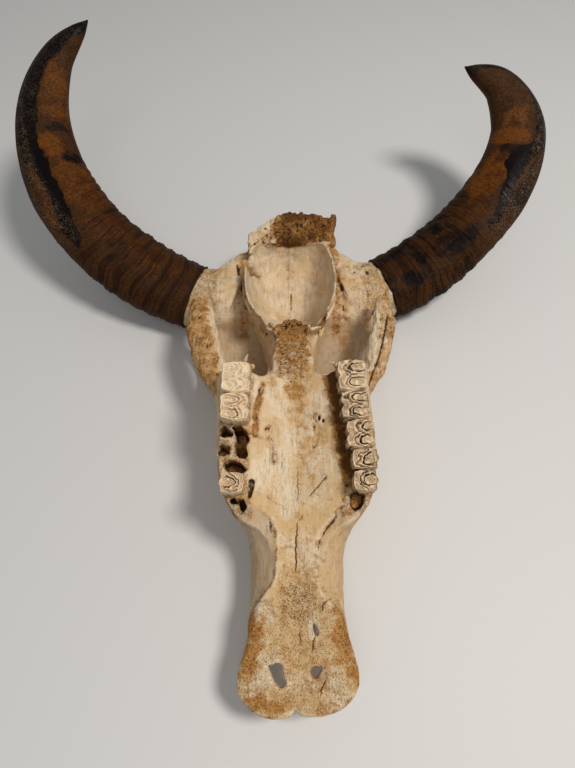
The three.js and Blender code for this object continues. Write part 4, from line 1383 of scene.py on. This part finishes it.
def pits_group():
    """Small round pores: more and wider of them where the amount is higher"""
    group = new_group("bone pores", {"Place": ("Vector", (0, 0, 0)), "Amount": ("Float", 0.5),
                                     "Scale": ("Float", 420.0)}, {"Pore": "Float"})
    n = Nodes(group)
    given = group.nodes.new("NodeGroupInput")
    shaken = n.add("ShaderNodeVectorMath", {"operation": "ADD"})
    wobble = n.add("ShaderNodeTexNoise", Vector=given.outputs["Place"], Scale=300.0)
    scaled = n.add("ShaderNodeVectorMath", {"operation": "SCALE"}, Scale=0.0022)
    n.join(wobble.outputs["Color"], scaled.inputs[0])
    n.join(given.outputs["Place"], shaken.inputs[0])
    n.join(scaled.outputs[0], shaken.inputs[1])
    cell = n.add("ShaderNodeTexVoronoi", Vector=shaken.outputs[0], Scale=given.outputs["Scale"])
    edge = n.plus(n.times(given.outputs["Amount"], 0.36), 0.06)
    inside = n.minus(edge, cell.outputs["Distance"])
    luck = n.plus(n.noise(given.outputs["Place"], 520.0, 1.0), n.times(given.outputs["Amount"], 0.22))
    chosen = n.math("GREATER_THAN", luck, 0.56)
    pore = n.times(n.steps(inside, 0.0, 0.12), chosen)
    done = group.nodes.new("NodeGroupOutput")
    n.join(pore, done.inputs["Pore"])
    return group


def bone_material(colours):
    material, n, shader, place = new_material("weathered bone")
    drawn_out = n.add("ShaderNodeMapping", Vector=place, Scale=(1.0, 0.09, 0.6)).outputs[0]
    broad = n.noise(place, 42.0, 5.0, 0.6)
    blotch = n.noise(place, 150.0, 4.0, 0.6)
    speck = n.noise(place, 620.0, 3.0, 0.7)
    streak = n.noise(drawn_out, 420.0, 3.0, 0.6)
    stain, brown, dark, porous, pale, grey = [n.attribute(name) for name in MARKS]

    paleness = n.plus(n.times(pale, 0.6), n.steps(broad, 0.38, 0.64, -0.15, 0.6))
    colour = n.mix(n.steps(paleness, 0.0, 1.0), colours.bone_warm, colours.bone_pale)
    colour = n.mix(n.times(grey, 0.75), colour, colours.bone_grey)
    thin = n.steps(n.plus(streak, n.swing(speck, 0.5)), 0.52, 0.72, 0.0, 0.5)
    colour = n.mix(thin, colour, colours.streak)
    ochreous = n.minus(n.times(porous, 0.12), n.times(pale, 0.09))
    yellow = n.steps(n.plus(blotch, ochreous), 0.5, 0.72, 0.0, 0.6)
    colour = n.mix(yellow, colour, colours.ochre)
    uneven = n.plus(n.swing(blotch, 1.3), n.swing(speck, 0.9))
    stained = n.steps(n.plus(stain, uneven), 0.12, 0.85, 0.0, 0.92)
    rust = n.mix(n.steps(n.noise(place, 420.0, 4.0, 0.7), 0.4, 0.62), colours.amber, colours.rust)
    colour = n.mix(stained, colour, rust)
    browned = n.steps(n.plus(brown, uneven), 0.2, 0.95, 0.0, 0.92)
    colour = n.mix(browned, colour, colours.brown)
    # Dirt and painted shade: the dark mark darkens cracks and soil, and also hollows, creases and the gap by
    # the teeth as painted shade
    dirt_and_shade_share = n.steps(n.plus(dark, n.times(uneven, 0.55)), 0.18, 0.92, 0.0, 0.94)
    colour = n.mix(dirt_and_shade_share, colour, colours.dirt_and_shade)

    grain = n.times(n.steps(n.noise(place, 1050.0, 4.0, 0.8), 0.49, 0.61, 0.0, 0.75),
                    n.plus(n.times(porous, 0.6), 0.32))
    colour = n.mix(grain, colour, colours.streak, "MULTIPLY")
    bent = n.math("ABSOLUTE", n.minus(n.noise(drawn_out, 150.0, 5.0, 0.65), 0.5))
    crack = n.times(n.steps(bent, 0.0, 0.014, 1.0, 0.0), n.steps(broad, 0.48, 0.6))
    colour = n.mix(n.times(crack, 0.32), colour, colours.brown)
    pits = n.add("ShaderNodeGroup", {"node_tree": pits_group()}, Place=place, Amount=porous, Scale=560.0)
    small = n.add("ShaderNodeGroup", {"node_tree": pits.node_tree}, Place=place,
                  Amount=n.times(porous, 0.8), Scale=1200.0)
    pore = n.math("MAXIMUM", pits.outputs["Pore"], n.times(small.outputs["Pore"], 0.7))
    shown = n.times(pore, n.plus(n.times(porous, 0.5), 0.1))
    colour = n.mix(shown, colour, colours.dirt_and_shade)
    n.join(colour, shader.inputs["Base Color"])
    n.join(n.steps(speck, 0.3, 0.7, 0.6, 0.85), shader.inputs["Roughness"])
    shader.inputs["Specular IOR Level"].default_value = 0.12
    height = n.minus(n.plus(n.times(speck, 0.8), n.times(streak, 0.8)),
                     n.plus(n.times(pore, 1.3), n.times(crack, 0.4)))
    n.bump(shader, height, strength=0.75, distance=0.0007)
    return material


def tooth_material(colours):
    material, n, shader, place = new_material("worn teeth")
    blotch = n.noise(place, 260.0, 4.0, 0.6)
    speck = n.noise(place, 1100.0, 3.0, 0.7)
    tone = n.plus(n.attribute("enamel"), n.swing(blotch, 0.9))
    colour = n.mix(n.steps(tone, 0.0, 0.8), colours.dentine, colours.enamel)
    yellow = n.steps(n.plus(blotch, n.times(n.attribute("neck"), 0.35)), 0.55, 0.85, 0.0, 0.8)
    colour = n.mix(yellow, colour, colours.ochre)
    # On the walls the pit mark holds their darker grooves and neck, and painted shade on the right row's
    # tongue side
    deep = n.plus(n.attribute("pit"), n.swing(speck, 0.35))
    colour = n.mix(n.steps(deep, 0.25, 0.8, 0.0, 0.95), colour, colours.pit)
    colour = n.mix(n.steps(speck, 0.62, 0.74, 0.0, 0.35), colour, colours.pit)
    n.join(colour, shader.inputs["Base Color"])
    n.join(n.steps(blotch, 0.3, 0.7, 0.42, 0.68), shader.inputs["Roughness"])
    n.bump(shader, speck, strength=0.5, distance=0.0005)
    return material


def horn_material(colours):
    material, n, shader, place = new_material("dark horn")
    blotch = n.noise(place, 110.0, 4.0, 0.65)
    speck = n.noise(place, 700.0, 3.0, 0.75)
    uneven = n.plus(n.swing(blotch, 1.1), n.swing(speck, 0.9))
    tan = n.steps(n.plus(n.attribute("tan"), uneven), 0.2, 0.85)
    colour = n.mix(tan, colours.horn_brown, colours.horn_tan)
    red = n.steps(n.noise(place, 65.0, 3.0), 0.45, 0.7, 0.0, 0.6)
    colour = n.mix(red, colour, colours.horn_red)
    # Painted shade in the ring furrows
    furrow = n.plus(n.attribute("furrow"), n.times(uneven, 0.4))
    colour = n.mix(n.steps(furrow, 0.25, 1.0, 0.0, 0.74), colour, colours.horn_dark)
    mottle = n.steps(n.noise(place, 480.0, 5.0, 0.78), 0.4, 0.56, 0.6, 0.0)
    colour = n.mix(mottle, colour, colours.horn_dark)
    scuffed = n.times(n.steps(n.plus(speck, n.times(blotch, 0.3)), 0.66, 0.78, 0.0, 0.85),
                      n.attribute("scuffed"))
    black = n.steps(n.plus(n.attribute("black"), n.times(uneven, 0.75)), 0.3, 0.68)
    colour = n.mix(black, colour, colours.horn_dark)
    colour = n.mix(scuffed, colour, colours.horn_scuff)
    n.join(colour, shader.inputs["Base Color"])
    glossy = n.steps(n.attribute("black"), 0.75, 1.0, 0.0, 0.2)
    sheen = n.minus(n.steps(blotch, 0.3, 0.7, 0.42, 0.56), glossy)
    n.join(n.plus(sheen, n.times(n.attribute("scuffed"), 0.12)), shader.inputs["Roughness"])
    shader.inputs["Specular IOR Level"].default_value = 0.045
    worn = n.minus(1.0, n.times(black, 0.8))
    height = n.times(n.plus(speck, n.times(blotch, 0.6)), worn)
    n.bump(shader, height, strength=0.6, distance=0.0006)
    return material


def floor_material(colours):
    material = bpy.data.materials.new("pale floor")
    material.use_nodes = True
    shader = material.node_tree.nodes["Principled BSDF"]
    shader.inputs["Base Color"].default_value = (*colours.floor, 1)
    shader.inputs["Roughness"].default_value = 0.6
    return material


# Stage

# The camera, as solved from the photo
CAMERA_PLACE = (-0.00511, -0.36024, 0.56823)
CAMERA_FORWARD = (0.00539, 0.52207, -0.85289)
CAMERA_RIGHT = (0.99985, -0.01697, -0.00407)
PHOTO_HEIGHT = 768
FOCAL_PIXELS = 577
SENSOR = 36


def build_camera():
    camera = bpy.data.objects.new("camera", bpy.data.cameras.new("camera"))
    bpy.context.scene.collection.objects.link(camera)
    camera.data.sensor_width = SENSOR
    camera.data.lens = SENSOR * FOCAL_PIXELS / PHOTO_HEIGHT
    camera.data.clip_start = 0.01
    forward = Vector(CAMERA_FORWARD).normalized()
    right = Vector(CAMERA_RIGHT).normalized()
    up = right.cross(forward).normalized()
    turn = Matrix((right, up, -forward)).transposed().to_4x4()
    camera.matrix_world = Matrix.Translation(CAMERA_PLACE) @ turn
    bpy.context.scene.camera = camera


LIGHT_AIM = (0, 0, 0.05)


def soft_light(name, place, size, power, colour):
    light = bpy.data.lights.new(name, "AREA")
    light.shape = "DISK"
    light.size = size
    light.energy = power
    light.color = colour
    item = bpy.data.objects.new(name, light)
    bpy.context.scene.collection.objects.link(item)
    item.location = place
    item.rotation_euler = (Vector(LIGHT_AIM) - Vector(place)).to_track_quat("-Z", "Y").to_euler()


def build_room():
    """The light that comes from all round"""
    world = bpy.data.worlds.new("soft room")
    world.use_nodes = True
    background = world.node_tree.nodes["Background"]
    background.inputs["Color"].default_value = (0.95, 0.97, 1.0, 1)
    background.inputs["Strength"].default_value = 0.27
    bpy.context.scene.world = world
    bpy.context.scene.view_settings.view_transform = "Standard"


def build_floor(size, material):
    bpy.ops.object.select_all(action="DESELECT")
    bpy.ops.mesh.primitive_plane_add(size=size)
    floor = bpy.context.active_object
    floor.name = "floor"
    floor.data.materials.append(material)


# Settings that a user would change

class SkullSizes(bpy.types.PropertyGroup):
    voxel: bpy.props.FloatProperty(
        name="Bone detail", description="Spacing of the bone surface, in millimetres", default=1.2, min=0.6)
    smoothing: bpy.props.IntProperty(
        name="Bone smoothing", description="Rounds of smoothing over the bones", default=26, min=0)
    floor_size: bpy.props.FloatProperty(
        name="Floor", description="Width of the floor", default=12.0, unit="LENGTH")


def colour_setting(name, words, default):
    return bpy.props.FloatVectorProperty(name=name, description=words, default=default, subtype="COLOR")


class SkullColours(bpy.types.PropertyGroup):
    # Pale bone, also the painted light on ridges
    bone_pale: colour_setting("Pale bone", "Bleached bone", (0.8, 0.65, 0.45))
    bone_warm: colour_setting("Warm bone", "Yellowed bone", (0.67, 0.45, 0.225))
    # Grey bone, also the painted shade on the left side of the muzzle
    bone_grey: colour_setting("Grey bone", "Smooth greyish bone", (0.46, 0.365, 0.26))
    streak: colour_setting("Streaks", "Thin lines along the bone", (0.42, 0.27, 0.14))
    ochre: colour_setting("Ochre", "Yellow-brown stains", (0.46, 0.26, 0.095))
    rust: colour_setting("Rust", "Orange-brown stains", (0.3, 0.12, 0.02))
    amber: colour_setting("Amber", "Light part of the stains", (0.52, 0.25, 0.065))
    brown: colour_setting("Brown", "Deep brown soil in the bone", (0.12, 0.043, 0.006))
    # Dirt in pores and cracks, also the painted shade in hollows, creases and by the teeth
    dirt_and_shade: colour_setting("Dirt", "Dark dirt in hollows and pores", (0.05, 0.026, 0.013))
    enamel: colour_setting("Enamel", "Ridges of the teeth", (0.84, 0.66, 0.44))
    dentine: colour_setting("Dentine", "Worn faces of the teeth", (0.5, 0.34, 0.18))
    # Tooth pits, also the darker tooth walls and the painted shade on the tongue side of the right row
    pit: colour_setting("Tooth pits", "Deep slits in the teeth", (0.06, 0.03, 0.014))
    # Nearly black horn, also the painted shade in the ring furrows
    horn_dark: colour_setting("Dark horn", "Nearly black horn", (0.006, 0.004, 0.004))
    horn_brown: colour_setting("Brown horn", "Brown horn", (0.064, 0.025, 0.007))
    horn_red: colour_setting("Red horn", "Reddish horn", (0.045, 0.011, 0.004))
    horn_tan: colour_setting("Tan horn", "Light brown horn", (0.16, 0.05, 0.006))
    horn_scuff: colour_setting("Scuffed horn", "Pale scuffs on the horn", (0.17, 0.115, 0.07))
    floor: colour_setting("Floor", "Plain floor", (0.7, 0.69, 0.67))


class SKULL_OT_bones(bpy.types.Operator):
    """Build the sixteen bones as one surface and part them where they meet"""
    bl_idname = "skull.bones"
    bl_label = "Bones"

    def execute(self, context):
        sizes = context.scene.skull_sizes
        material = bone_material(context.scene.skull_colours)
        body = fused_bones(sizes.voxel, sizes.smoothing)
        shape_bones(body)
        cut_slits(body)
        for item in parted(body):
            without_scraps(item)
            fill_masks(item)
            sharpen_seams(item)
            finish_piece(item, [item.name.removeprefix("bone_")], material)
        return {"FINISHED"}


class SKULL_OT_teeth(bpy.types.Operator):
    """Build the worn molars and premolars that still stand in the upper jaws"""
    bl_idname = "skull.teeth"
    bl_label = "Teeth"

    def execute(self, context):
        material = tooth_material(context.scene.skull_colours)
        for side in SIDES:
            build_teeth(side, material)
        return {"FINISHED"}


class SKULL_OT_horns(bpy.types.Operator):
    """Build the two ridged horn sheaths"""
    bl_idname = "skull.horns"
    bl_label = "Horns"

    def execute(self, context):
        material = horn_material(context.scene.skull_colours)
        for side in SIDES:
            build_horn(side, material)
        return {"FINISHED"}


class SKULL_OT_stage(bpy.types.Operator):
    """Build the plain floor, the soft light and the camera"""
    bl_idname = "skull.stage"
    bl_label = "Stage"

    def execute(self, context):
        build_floor(context.scene.skull_sizes.floor_size, floor_material(context.scene.skull_colours))
        build_camera()
        soft_light("key light", place=(0.9, -0.4, 2.0), size=0.5, power=30, colour=(1.0, 0.965, 0.92))
        soft_light("fill light", place=(-0.15, -0.85, 1.4), size=0.6, power=2.2, colour=(1.0, 0.98, 0.95))
        build_room()
        return {"FINISHED"}


class SKULL_PT_panel(bpy.types.Panel):
    bl_idname = "SKULL_PT_panel"
    bl_label = "Water Buffalo Skull"
    bl_space_type = "VIEW_3D"
    bl_region_type = "UI"
    bl_category = "Skull"

    def draw(self, context):
        for group in (context.scene.skull_sizes, context.scene.skull_colours):
            for name in group.__annotations__:
                self.layout.prop(group, name)
        for operator in OPERATORS:
            self.layout.operator(operator.bl_idname)


OPERATORS = (SKULL_OT_bones, SKULL_OT_teeth, SKULL_OT_horns, SKULL_OT_stage)
CLASSES = (SkullSizes, SkullColours, *OPERATORS, SKULL_PT_panel)


def register():
    for item in CLASSES:
        bpy.utils.register_class(item)
    bpy.types.Scene.skull_sizes = bpy.props.PointerProperty(type=SkullSizes)
    bpy.types.Scene.skull_colours = bpy.props.PointerProperty(type=SkullColours)


def unregister():
    del bpy.types.Scene.skull_colours
    del bpy.types.Scene.skull_sizes
    for item in reversed(CLASSES):
        bpy.utils.unregister_class(item)


def main():
    register()
    bpy.ops.object.select_all(action="DESELECT")
    bpy.ops.skull.bones()
    bpy.ops.skull.teeth()
    bpy.ops.skull.horns()
    bpy.ops.skull.stage()


if __name__ == "__main__":
    main()
